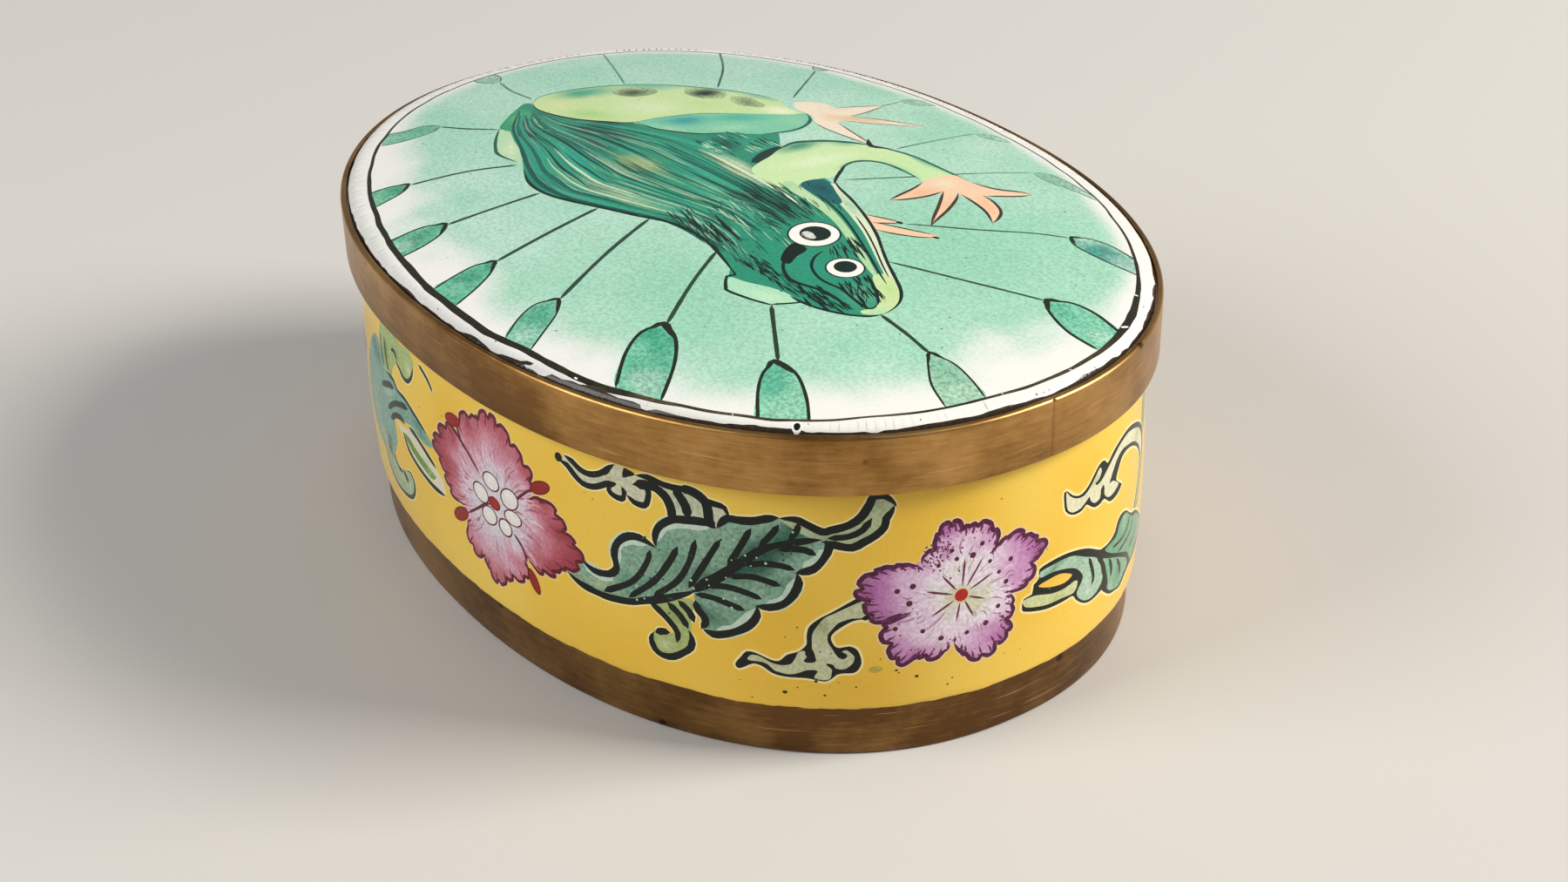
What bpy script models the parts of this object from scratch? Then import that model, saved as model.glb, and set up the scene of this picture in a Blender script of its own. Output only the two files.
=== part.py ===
"""Small oval box of enamelled brass with a lift-off lid.

Metres, +Z up. The origin is on the table under the middle of the box, +X runs along
the oval's long axis. Three pieces: the cup with its bare foot edge, the domed
enamelled plate of the lid, and the brass strip bent round the plate, which slips
down over the top of the cup.
"""

import math

import bmesh
import bpy
from mathutils import Vector

# Overall sizes, taken over the lid's brass strip, which is the widest thing
BOX_LENGTH = 0.0620
BOX_WIDTH = 0.0454
STRIP_TOP = 0.0220

# Exponent of the outline: 2 is an ellipse, and more is fuller at the shoulders
OVAL_FULLNESS = 2.14

# The lid's brass strip
STRIP_HEIGHT = 0.0037
STRIP_THICKNESS = 0.0006
STRIP_TOP_ROUND = 0.0002
STRIP_FOOT_ROUND = 0.00015

# The lid's domed plate, metal with enamel fused to both faces
PLATE_THICKNESS = 0.0012
PLATE_STAND = 0.0004
PLATE_EDGE_ROUND = 0.0004
DOME_RISE = 0.0020
LAND_MARGIN = 0.0003

# The cup: its wall, its floor and the bare edge that it stands on
WALL_THICKNESS = 0.0013
FLOOR_THICKNESS = 0.0012
FLOOR_RECESS = 0.0008
FLOOR_FILLET = 0.0010
FOOT_EDGE_ROUND = 0.0003
RIM_ROUND = 0.0003

# The cup's coat of enamel: it starts above the bare foot edge with a rolled lip, is
# fullest at half height and thins out before it reaches the strip
FOOT_HEIGHT = 0.0033
COAT_AT_LIP = 0.00045
COAT_BULGE = 0.0003
COAT_AT_TOP = 0.0001

# Clearances
SLIP_CLEARANCE = 0.0005
SEAM_GAP = 0.0003
REST_GAP = 0.0003

# Fineness of the facets
OVAL_SIDES = 88
ROUND_STEPS = 3
FILLET_STEPS = 4
COAT_RINGS = 6
DOME_RINGS = 8
UNDER_DOME_RINGS = 5
FLOOR_RINGS = 2
SHARP_EDGE = math.radians(35)

# Places that follow from the sizes above
SEMI_LENGTH = BOX_LENGTH / 2
SEMI_WIDTH = BOX_WIDTH / 2
STRIP_FOOT = STRIP_TOP - STRIP_HEIGHT
PLATE_INSET = STRIP_THICKNESS + SEAM_GAP
DOME_INSET = PLATE_INSET + PLATE_EDGE_ROUND
DOME_EDGE = STRIP_TOP + PLATE_STAND
PLATE_UNDERSIDE = DOME_EDGE - PLATE_THICKNESS
WALL_INSET = STRIP_THICKNESS + SLIP_CLEARANCE
CAVITY_INSET = WALL_INSET + WALL_THICKNESS
WALL_TOP = PLATE_UNDERSIDE - REST_GAP
LAND_INSET = CAVITY_INSET + LAND_MARGIN
FLOOR_UNDERSIDE = FLOOR_RECESS
FLOOR_TOP = FLOOR_UNDERSIDE + FLOOR_THICKNESS


def signed_power(value, power):
    """The power of a number's size, with the number's own sign."""
    return math.copysign(abs(value) ** power, value)


def oval_ring(inset, height, share=1.0):
    """Points of the lid's outline drawn in by an inset along its normals.

    A share below 1 then shrinks the ring towards the middle.
    """
    points = []
    for step in range(OVAL_SIDES):
        angle = 2 * math.pi * step / OVAL_SIDES
        along = signed_power(math.cos(angle), 2 / OVAL_FULLNESS)
        across = signed_power(math.sin(angle), 2 / OVAL_FULLNESS)
        on_outline = Vector((SEMI_LENGTH * along, SEMI_WIDTH * across, 0))
        normal = Vector((
            signed_power(along, OVAL_FULLNESS - 1) / SEMI_LENGTH,
            signed_power(across, OVAL_FULLNESS - 1) / SEMI_WIDTH,
            0,
        ))
        drawn_in = (on_outline - inset * normal.normalized()) * share
        points.append(Vector((drawn_in.x, drawn_in.y, height)))
    return points


def corner_arc(inset, height, round_inset, round_height, first_angle, steps):
    """Inset and height pairs along a quarter round about a centre.

    Angles are measured from outwards (smaller inset) towards up.
    """
    pairs = []
    for step in range(steps + 1):
        angle = first_angle + math.radians(90) * step / steps
        pairs.append((inset - round_inset * math.cos(angle), height + round_height * math.sin(angle)))
    return pairs


def add_material(name, colour, roughness, metallic):
    """A Principled material with one colour."""
    material = bpy.data.materials.new(name)
    material.use_nodes = True
    shader = material.node_tree.nodes["Principled BSDF"]
    shader.inputs["Base Color"].default_value = (*colour, 1.0)
    shader.inputs["Roughness"].default_value = roughness
    shader.inputs["Metallic"].default_value = metallic
    return material


def bridge_rings(mesh, rings, closed):
    """Quads between each ring and the next, and back to the first where closed."""
    pairs = list(zip(rings, rings[1:]))
    if closed:
        pairs.append((rings[-1], rings[0]))
    for ring, following in pairs:
        for step in range(OVAL_SIDES):
            after = (step + 1) % OVAL_SIDES
            mesh.faces.new((ring[step], ring[after], following[after], following[step]))


def close_with_fan(mesh, ring, height, rising):
    """Triangles from a ring to one point on the box's axis."""
    pole = mesh.verts.new((0, 0, height))
    for step in range(OVAL_SIDES):
        after = (step + 1) % OVAL_SIDES
        corners = (ring[step], ring[after], pole)
        mesh.faces.new(corners if rising else reversed(corners))


def finish_object(name, mesh, material):
    """Writes the mesh to a new object, shaded smooth between sharp edges."""
    bmesh.ops.recalc_face_normals(mesh, faces=mesh.faces)
    data = bpy.data.meshes.new(name)
    mesh.to_mesh(data)
    mesh.free()
    data.shade_smooth()
    data.set_sharp_from_angle(angle=SHARP_EDGE)
    data.materials.append(material)
    piece = bpy.data.objects.new(name, data)
    bpy.context.scene.collection.objects.link(piece)
    return piece


def add_rings(mesh, profile):
    """One ring of vertices for each entry of a profile."""
    return [[mesh.verts.new(point) for point in oval_ring(*entry)] for entry in profile]


def make_lid_strip(parent, material):
    """Brass strip bent to an oval hoop, with its two upper edges rounded."""
    inner = STRIP_THICKNESS
    quarter = math.radians(90)
    profile = corner_arc(
        STRIP_FOOT_ROUND, STRIP_FOOT + STRIP_FOOT_ROUND, STRIP_FOOT_ROUND, STRIP_FOOT_ROUND,
        -quarter, 1,
    )
    profile += corner_arc(
        STRIP_TOP_ROUND, STRIP_TOP - STRIP_TOP_ROUND, STRIP_TOP_ROUND, STRIP_TOP_ROUND,
        0, ROUND_STEPS,
    )
    profile += corner_arc(
        inner - STRIP_TOP_ROUND, STRIP_TOP - STRIP_TOP_ROUND, STRIP_TOP_ROUND, STRIP_TOP_ROUND,
        quarter, ROUND_STEPS,
    )
    profile.append((inner, STRIP_FOOT))
    mesh = bmesh.new()
    bridge_rings(mesh, add_rings(mesh, profile), closed=True)
    piece = finish_object("lid_strip", mesh, material)
    piece.parent = parent


def dome_height(share):
    """Height of the plate's upper face at a share of the way out to its edge."""
    return DOME_EDGE + DOME_RISE * (1 - share * share)


def make_lid_plate(parent, material):
    """Domed oval plate with a rounded edge and a flat land that rests on the wall."""
    profile = [
        (DOME_INSET, dome_height(ring / DOME_RINGS), ring / DOME_RINGS)
        for ring in range(1, DOME_RINGS)
    ]
    edge = corner_arc(
        DOME_INSET, DOME_EDGE - PLATE_EDGE_ROUND, PLATE_EDGE_ROUND, PLATE_EDGE_ROUND,
        0, ROUND_STEPS,
    )
    profile += reversed(edge)
    profile.append((PLATE_INSET, PLATE_UNDERSIDE))
    profile.append((LAND_INSET, PLATE_UNDERSIDE))
    for ring in range(UNDER_DOME_RINGS - 1, 0, -1):
        share = ring / UNDER_DOME_RINGS
        profile.append((DOME_INSET, dome_height(share) - PLATE_THICKNESS, share))
    mesh = bmesh.new()
    rings = add_rings(mesh, profile)
    bridge_rings(mesh, rings, closed=False)
    close_with_fan(mesh, rings[0], dome_height(0), rising=True)
    close_with_fan(mesh, rings[-1], dome_height(0) - PLATE_THICKNESS, rising=False)
    piece = finish_object("lid_plate", mesh, material)
    piece.parent = parent


def coat_profile():
    """Rings of the enamel coat, from its rolled lip up to where it thins out."""
    lip_top = FOOT_HEIGHT + COAT_AT_LIP
    coat_top = STRIP_FOOT - COAT_AT_TOP
    lip = corner_arc(
        WALL_INSET, lip_top, COAT_AT_LIP, COAT_AT_LIP, -math.radians(90), ROUND_STEPS,
    )
    face = []
    for ring in range(1, COAT_RINGS + 1):
        rise = ring / COAT_RINGS
        thickness = (
            COAT_AT_LIP * (1 - rise) + COAT_AT_TOP * rise + 4 * COAT_BULGE * rise * (1 - rise)
        )
        face.append((WALL_INSET - thickness, lip_top * (1 - rise) + coat_top * rise))
    return lip + face


def make_cup(parent, material):
    """Hollow oval cup: recessed underside, foot edge, enamelled wall, rim and cavity."""
    quarter = math.radians(90)
    floor_edge = CAVITY_INSET + FLOOR_FILLET
    profile = [
        (CAVITY_INSET, FLOOR_UNDERSIDE, ring / FLOOR_RINGS) for ring in range(1, FLOOR_RINGS + 1)
    ]
    profile.append((CAVITY_INSET, 0))
    profile += corner_arc(
        WALL_INSET + FOOT_EDGE_ROUND, FOOT_EDGE_ROUND, FOOT_EDGE_ROUND, FOOT_EDGE_ROUND,
        -quarter, ROUND_STEPS,
    )
    profile += coat_profile()
    profile += corner_arc(
        WALL_INSET + RIM_ROUND, WALL_TOP - RIM_ROUND, RIM_ROUND, RIM_ROUND, 0, ROUND_STEPS,
    )
    profile += corner_arc(
        CAVITY_INSET - RIM_ROUND, WALL_TOP - RIM_ROUND, RIM_ROUND, RIM_ROUND,
        quarter, ROUND_STEPS,
    )
    fillet = corner_arc(
        floor_edge, FLOOR_TOP + FLOOR_FILLET, FLOOR_FILLET, FLOOR_FILLET,
        -quarter, FILLET_STEPS,
    )
    profile += reversed(fillet)
    for ring in range(FLOOR_RINGS - 1, 0, -1):
        profile.append((floor_edge, FLOOR_TOP, ring / FLOOR_RINGS))
    mesh = bmesh.new()
    rings = add_rings(mesh, profile)
    bridge_rings(mesh, rings, closed=False)
    close_with_fan(mesh, rings[0], FLOOR_UNDERSIDE, rising=False)
    close_with_fan(mesh, rings[-1], FLOOR_TOP, rising=True)
    piece = finish_object("box_cup", mesh, material)
    piece.parent = parent


def main():
    """Builds the three pieces under one empty that marks the box's place."""
    for existing in list(bpy.data.objects):
        bpy.data.objects.remove(existing, do_unlink=True)
    place = bpy.data.objects.new("enamel_box", None)
    bpy.context.scene.collection.objects.link(place)
    brass = add_material("rubbed brass", (0.38, 0.22, 0.09), 0.38, 1.0)
    picture_enamel = add_material("green and white enamel", (0.47, 0.72, 0.57), 0.12, 0.0)
    ground_enamel = add_material("yellow enamel", (0.68, 0.42, 0.09), 0.15, 0.0)
    make_cup(place, ground_enamel)
    make_lid_plate(place, picture_enamel)
    make_lid_strip(place, brass)


main()
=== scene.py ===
"""Small oval box of painted enamel on brass, with a lift-off lid.

Four pieces stand for the three parts: the lid's domed plate with its picture, the
brass strip round it, the brass cup, and the coat of yellow enamel fused to the cup's
wall. The picture's outlines are cut into the faces of the plate and of the coat, so
its lines stay sharp, and each corner of a face carries its paint's colour. Sizes in
this file are in millimetres until a mesh is written.
"""

import math
import random

import bpy
import numpy as np
from mathutils import Matrix, Vector
from mathutils.geometry import delaunay_2d_cdt


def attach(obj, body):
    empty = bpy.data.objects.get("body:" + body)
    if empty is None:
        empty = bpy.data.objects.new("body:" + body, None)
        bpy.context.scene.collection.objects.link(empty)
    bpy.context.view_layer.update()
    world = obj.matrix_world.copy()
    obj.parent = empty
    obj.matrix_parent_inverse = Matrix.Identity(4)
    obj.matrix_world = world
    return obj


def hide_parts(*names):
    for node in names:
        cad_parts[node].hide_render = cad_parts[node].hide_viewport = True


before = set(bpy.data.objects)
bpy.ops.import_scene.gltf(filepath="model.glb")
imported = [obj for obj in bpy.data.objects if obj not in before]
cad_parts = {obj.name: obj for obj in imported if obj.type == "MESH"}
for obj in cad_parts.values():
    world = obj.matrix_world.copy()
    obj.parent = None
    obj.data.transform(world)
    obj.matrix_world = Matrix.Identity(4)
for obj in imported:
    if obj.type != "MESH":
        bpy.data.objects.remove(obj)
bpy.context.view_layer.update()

MM = 0.001

# The oval outline of the lid, measured over the brass strip
HALF_LENGTH = 31.0
HALF_WIDTH = 22.7
FULLNESS = 2.14

# Heights and insets of the parts
STRIP_TOP = 22.0
STRIP_FOOT = 18.3
STRIP_THICKNESS = 0.42
DOME_EDGE = 22.42
DOME_RISE = 1.96
DOME_INSET = 1.3
PLATE_INSET = 0.5
PLATE_ROLL = 0.75
PLATE_ROLL_DROP = 0.5
PLATE_UNDERSIDE = 21.2
PLATE_THICKNESS = 1.2
WALL_INSET = 1.1
CAVITY_INSET = 2.4
WALL_TOP = 20.9
FLOOR_TOP = 2.0
FLOOR_UNDERSIDE = 0.8
FLOOR_FILLET = 1.0
COAT_FOOT = 3.4
COAT_LIP = 0.42
COAT_ROLL = 0.35
COAT_BULGE = 0.3
COAT_THIN = 0.1
COAT_TOP = 18.2
COAT_BACK = 1.16

# Fineness of the meshes
RIM_SIDES = 480
STRIP_SIDES = 288
CUP_SIDES = 288
GRID = 0.5

rng = random.Random(11)


def signed_power(value, power):
    """Power of the size of a number or array, with the sign kept."""
    return np.sign(value) * np.abs(value) ** power


def oval(angle, inset):
    """Points of the outline at an array of angles, drawn in along its normals."""
    along = signed_power(np.cos(angle), 2 / FULLNESS)
    across = signed_power(np.sin(angle), 2 / FULLNESS)
    nx = signed_power(along, FULLNESS - 1) / HALF_LENGTH
    ny = signed_power(across, FULLNESS - 1) / HALF_WIDTH
    size = np.hypot(nx, ny)
    return np.stack([
        HALF_LENGTH * along - inset * nx / size,
        HALF_WIDTH * across - inset * ny / size,
    ], axis=-1)


# Arc length round the wall, from the +X end and anticlockwise seen from above
TRACE = np.linspace(0, 2 * math.pi, 7201)
TRACE_INSET = 0.6
TRACE_STEPS = np.diff(oval(TRACE, TRACE_INSET), axis=0)
TRACE_LENGTH = np.concatenate([[0], np.cumsum(np.hypot(*TRACE_STEPS.T))])
ROUND = float(TRACE_LENGTH[-1])


def angle_at(distance):
    """Angle parameter at arc lengths round the wall."""
    return np.interp(np.mod(distance, ROUND), TRACE_LENGTH, TRACE)


def rim(distance, inset):
    """Points of the lid at arc lengths and insets from its outline."""
    return oval(angle_at(np.asarray(distance, float)), np.asarray(inset, float))


def inset_of(places):
    """Distance of places from the lid's outline, measured inwards along its normals."""
    angles = np.linspace(0, 2 * math.pi, 1440, endpoint=False)
    edge = oval(angles, 0.0)
    normal = oval(angles, 1.0) - edge
    out = np.empty(len(places))
    for first in range(0, len(places), 4000):
        block = places[first:first + 4000]
        gap = (block[:, None, 0] - edge[None, :, 0]) ** 2 + (block[:, None, 1] - edge[None, :, 1]) ** 2
        near = gap.argmin(axis=1)
        out[first:first + 4000] = ((block - edge[near]) * normal[near]).sum(axis=1)
    return out


def drift(places, size, seed):
    """Smooth random values from 0 to 1 over places, with hills of about that size."""
    table = np.random.default_rng(seed).random((64, 64))
    x, y = places[:, 0] / size, places[:, 1] / size
    i, j = np.floor(x).astype(int), np.floor(y).astype(int)
    u, v = x - i, y - j
    u, v = u * u * (3 - 2 * u), v * v * (3 - 2 * v)
    low = table[i % 64, j % 64] * (1 - u) + table[(i + 1) % 64, j % 64] * u
    high = table[i % 64, (j + 1) % 64] * (1 - u) + table[(i + 1) % 64, (j + 1) % 64] * u
    return low * (1 - v) + high * v


# Paints


def linear(text):
    """Linear colour from an sRGB hex text."""
    channels = [int(text[i:i + 2], 16) / 255 for i in (0, 2, 4)]
    return np.array([
        c / 12.92 if c <= 0.04045 else ((c + 0.055) / 1.055) ** 2.4 for c in channels])


def wash(base, dabs=(), grain=0.2, wander=0.25):
    """Paint of one colour with soft dabs of others laid into it while wet.

    A dab is its centre, its two half sizes, its turn in degrees, its colour and its
    strength.
    """
    under = linear(base)
    laid = [(c, size, math.radians(turn), linear(colour), strength)
            for c, size, turn, colour, strength in dabs]

    def paint(places):
        out = np.tile(under, (len(places), 1))
        stray = (drift(places, 1.3, 5) - 0.5) * 2 * wander
        for (cx, cy), (rx, ry), turn, colour, strength in laid:
            dx, dy = places[:, 0] - cx, places[:, 1] - cy
            a = (dx * math.cos(turn) + dy * math.sin(turn)) / rx
            b = (dy * math.cos(turn) - dx * math.sin(turn)) / ry
            t = np.clip(1 - np.hypot(a, b) + stray * 0.6, 0, 1)
            t = t * t * (3 - 2 * t) * strength
            out = out + (colour - out) * t[:, None]
        return np.column_stack([out, np.full(len(out), grain)])

    return paint


def rings(centre, stops, stretch=(1.0, 1.0), grain=0.2, wander=0.5):
    """Paint that changes from colour to colour with the distance from a centre."""
    radii = [radius for radius, colour in stops]
    colours = np.array([linear(colour) for radius, colour in stops])

    def paint(places):
        away = np.hypot(
            (places[:, 0] - centre[0]) / stretch[0], (places[:, 1] - centre[1]) / stretch[1])
        away = away + (drift(places, 0.9, 7) - 0.5) * 2 * wander
        out = np.column_stack([np.interp(away, radii, colours[:, k]) for k in range(3)])
        return np.column_stack([out, np.full(len(out), grain)])

    return paint


def tinted(paint, colour, share):
    """A paint with some of another colour in it."""
    other = linear(colour)

    def mixed(places):
        out = paint(places)
        out[:, :3] += (other - out[:, :3]) * share
        return out

    return mixed


# Drawing with brush and pen


def curve_through(points, step=0.3, closed=False):
    """A smooth line through points, which may carry a width as a third number."""
    control = np.array(points, float)
    count = len(control)
    out = []
    for i in range(count if closed else count - 1):
        if closed:
            a, b, c, d = (control[(i + k) % count] for k in (-1, 0, 1, 2))
        else:
            b, c = control[i], control[i + 1]
            a = control[i - 1] if i > 0 else 2 * b - c
            d = control[i + 2] if i + 2 < count else 2 * c - b
        pieces = max(2, int(math.ceil(np.hypot(*(c - b)[:2]) / step)))
        for k in range(pieces):
            t = k / pieces
            out.append(0.5 * (
                2 * b + (c - a) * t + (2 * a - 5 * b + 4 * c - d) * t * t
                + (3 * b - a - 3 * c + d) * t ** 3
            ))
    if not closed:
        out.append(control[-1])
    return np.array(out)


def holds(outline, places):
    """Whether each place lies inside a closed outline."""
    x, y = outline.T
    next_x, next_y = np.roll(x, -1), np.roll(y, -1)
    across, high = places[:, :1], places[:, 1:]
    passes = (y > high) != (next_y > high)
    rise = np.where(next_y == y, 1.0, next_y - y)
    meets = x + (high - y) / rise * (next_x - x)
    return np.sum(passes & (across < meets), axis=1) % 2 == 1


class Picture:
    """Areas of paint in the order they are laid; a later one covers an earlier one."""

    def __init__(self, ground=None, paint=None):
        self.grounds = [] if ground is None else [(ground, paint)]
        self.halos = []
        self.areas = []

    def fill(self, points, paint, step=0.4):
        """A smooth closed outline filled with a paint."""
        self.areas.append((curve_through(points, step, closed=True), paint))

    def shape(self, points, paint):
        """A closed outline with its corners kept, filled with a paint."""
        self.areas.append((np.array(points, float), paint))

    def stroke(self, points, width, paint, taper=0.3, step=0.45, closed=False, halo=None):
        """A pen stroke as a chain of four-sided areas, thinner at its ends.

        A halo is a paler stroke of its own paint, laid below everything else.
        """
        line = curve_through(points, step, closed)
        if closed:
            line = np.vstack([line, line[:1]])
        spine = line[:, :2]
        run = np.concatenate([[0], np.cumsum(np.hypot(*np.diff(spine, axis=0).T))])
        share = run / run[-1]
        widths = line[:, 2] * width if line.shape[1] > 2 else np.full(len(spine), float(width))
        widths = widths * (0.88 + 0.24 * drift(spine, 0.7, 3))
        if taper > 0 and not closed:
            widths = widths * np.clip(np.minimum(share, 1 - share) / taper, 0, 1) ** 0.6
            widths = np.maximum(widths, 0.03)
        along = np.gradient(spine, axis=0)
        along /= np.maximum(np.hypot(*along.T), 1e-9)[:, None]
        across = np.stack([-along[:, 1], along[:, 0]], axis=1)
        layers = [(self.areas, widths, paint)]
        if halo:
            layers.append((self.halos, widths + 0.2, halo))
        for pile, breadth, colour in layers:
            side = across * breadth[:, None] / 2
            left, right = spine + side, spine - side
            for i in range(len(spine) - 1):
                quad = np.array((left[i], right[i], right[i + 1], left[i + 1]))
                away = quad - quad.mean(axis=0)
                pile.append((quad[np.argsort(np.arctan2(away[:, 1], away[:, 0]))], colour))

    def spot(self, centre, radius, paint, sides=10, flat=1.0, turn=0.0):
        """A round or oval dab, its turn in degrees."""
        a = np.linspace(0, 2 * math.pi, sides, endpoint=False)
        x, y = radius * np.cos(a), radius * flat * np.sin(a)
        t = math.radians(turn)
        ring = np.column_stack([
            centre[0] + x * math.cos(t) - y * math.sin(t),
            centre[1] + x * math.sin(t) + y * math.cos(t),
        ])
        self.areas.append((ring, paint))

    def stamp(self, motif, shift=0.0, squeeze=1.0, about=0.0):
        """Lays a motif's areas here, moved along and drawn narrower about a place."""
        def carried(paint):
            def own(places):
                places = places.copy()
                places[:, 0] = about + (places[:, 0] - about - shift) / squeeze
                return paint(places)
            return own

        paints = {}
        for mine, theirs in ((self.halos, motif.halos), (self.areas, motif.areas)):
            for outline, paint in theirs:
                outline = outline[:, :2].copy()
                outline[:, 0] = about + shift + (outline[:, 0] - about) * squeeze
                if id(paint) not in paints:
                    paints[id(paint)] = carried(paint)
                mine.append((outline, paints[id(paint)]))

    def cut(self, extra):
        """Cuts all areas into triangles.

        Returns the places, the triangles, the number of the area on top of each, and
        the paints by number.
        """
        pile, corners, outlines, boxes = [], [], [], []
        for outline, paint in self.grounds + self.halos + self.areas:
            x, y = outline[:, 0], outline[:, 1]
            area = float(np.sum(x * np.roll(y, -1) - y * np.roll(x, -1))) / 2
            if abs(area) < 1e-4:
                continue
            if area < 0:
                x, y = x[::-1], y[::-1]
            pile.append(paint)
            boxes.append((x.min(), y.min(), x.max(), y.max()))
            outlines.append(list(range(len(corners), len(corners) + len(x))))
            corners.extend(Vector(pair) for pair in zip(x.tolist(), y.tolist()))
        corners.extend(Vector((float(x), float(y))) for x, y in extra)
        result = delaunay_2d_cdt(corners, [], outlines, 1, 1e-5, True)
        places = np.array([(p.x, p.y) for p in result[0]])
        triangles, choices = [], []
        for face, ids in zip(result[2], result[5]):
            if 0 not in ids:
                continue
            cx, cy = places[face].mean(axis=0)
            triangles.append(list(face))
            choices.append([
                number for number in sorted(ids, reverse=True)
                if number == 0 or (boxes[number][0] <= cx <= boxes[number][2]
                                   and boxes[number][1] <= cy <= boxes[number][3])])
        triangles = np.array(triangles)
        centres = places[triangles].mean(axis=1)
        top = np.array([numbers[0] for numbers in choices])
        asked = np.arange(len(top))
        while len(asked):
            order = asked[np.argsort(top[asked], kind="stable")]
            numbers, starts = np.unique(top[order], return_index=True)
            missed = []
            for number, rows in zip(numbers, np.split(order, starts[1:])):
                if number > 0 and len(outlines[number]) > 4:
                    ring = np.array([corners[k][:2] for k in outlines[number]])
                    missed.append(rows[~holds(ring, centres[rows])])
            asked = np.concatenate(missed) if missed else np.array([], int)
            for row in asked:
                choices[row].pop(0)
                top[row] = choices[row][0]
        return places, triangles, top, pile


def corner_paints(places, triangles, top, paints):
    """The colour at each corner of each triangle, from the area on top of it."""
    order = np.argsort(top, kind="stable")
    numbers, starts = np.unique(top[order], return_index=True)
    shares = {}
    for number, rows in zip(numbers, np.split(order, starts[1:])):
        shares.setdefault(id(paints[number]), (paints[number], []))[1].append(rows)
    colours = np.zeros((len(triangles), 3, 4))
    for paint, rows in shares.values():
        rows = np.concatenate(rows)
        colours[rows] = paint(places[triangles[rows]].reshape(-1, 2)).reshape(-1, 3, 4)
    return np.clip(colours.reshape(-1, 4), 0, 1)


# Materials


def feed(tree, node, values):
    """Gives a node's sockets their values, or their links from other nodes."""
    for key, value in values.items():
        if isinstance(value, bpy.types.NodeSocket):
            tree.links.new(value, node.inputs[key])
        else:
            node.inputs[key].default_value = value


def add_node(tree, kind, values=None, **settings):
    """Adds one shader node with its settings, socket values and links."""
    node = tree.nodes.new(kind)
    for key, value in settings.items():
        setattr(node, key, value)
    feed(tree, node, values or {})
    return node


def new_material(name):
    """An empty Principled material with its tree and shader."""
    material = bpy.data.materials.new(name)
    material.use_nodes = True
    return material, material.node_tree, material.node_tree.nodes["Principled BSDF"]


def painted_enamel(name, roughness):
    """Painted enamel: opaque glass fused to brass, the picture fired into its surface.

    The colours are in the mesh's paint attribute, whose last channel is the grain.
    """
    material, tree, shader = new_material(name)
    paint = add_node(tree, "ShaderNodeVertexColor", layer_name="paint").outputs
    place = add_node(tree, "ShaderNodeTexCoord").outputs["Object"]
    grain = add_node(tree, "ShaderNodeTexNoise", {
        "Vector": place, "Scale": 4200.0, "Detail": 3.0, "Roughness": 0.65})
    spread = add_node(tree, "ShaderNodeMapRange", {
        "Value": grain.outputs["Fac"], "From Min": 0.36, "From Max": 0.62, "To Min": 0.55, "To Max": 1.12})
    mottle = add_node(tree, "ShaderNodeMix", {
        "Factor": paint["Alpha"], 6: paint["Color"], 7: spread.outputs["Result"],
    }, data_type="RGBA", blend_type="MULTIPLY")
    waves = add_node(tree, "ShaderNodeTexNoise", {"Vector": place, "Scale": 420.0, "Detail": 2.0})
    bump = add_node(tree, "ShaderNodeBump", {
        "Height": waves.outputs["Fac"], "Strength": 0.25, "Distance": 0.00006})
    feed(tree, shader, {
        "Base Color": mottle.outputs[2], "Normal": bump.outputs["Normal"], "Roughness": roughness,
        "IOR": 1.52, "Specular IOR Level": 0.25})
    return material


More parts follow.
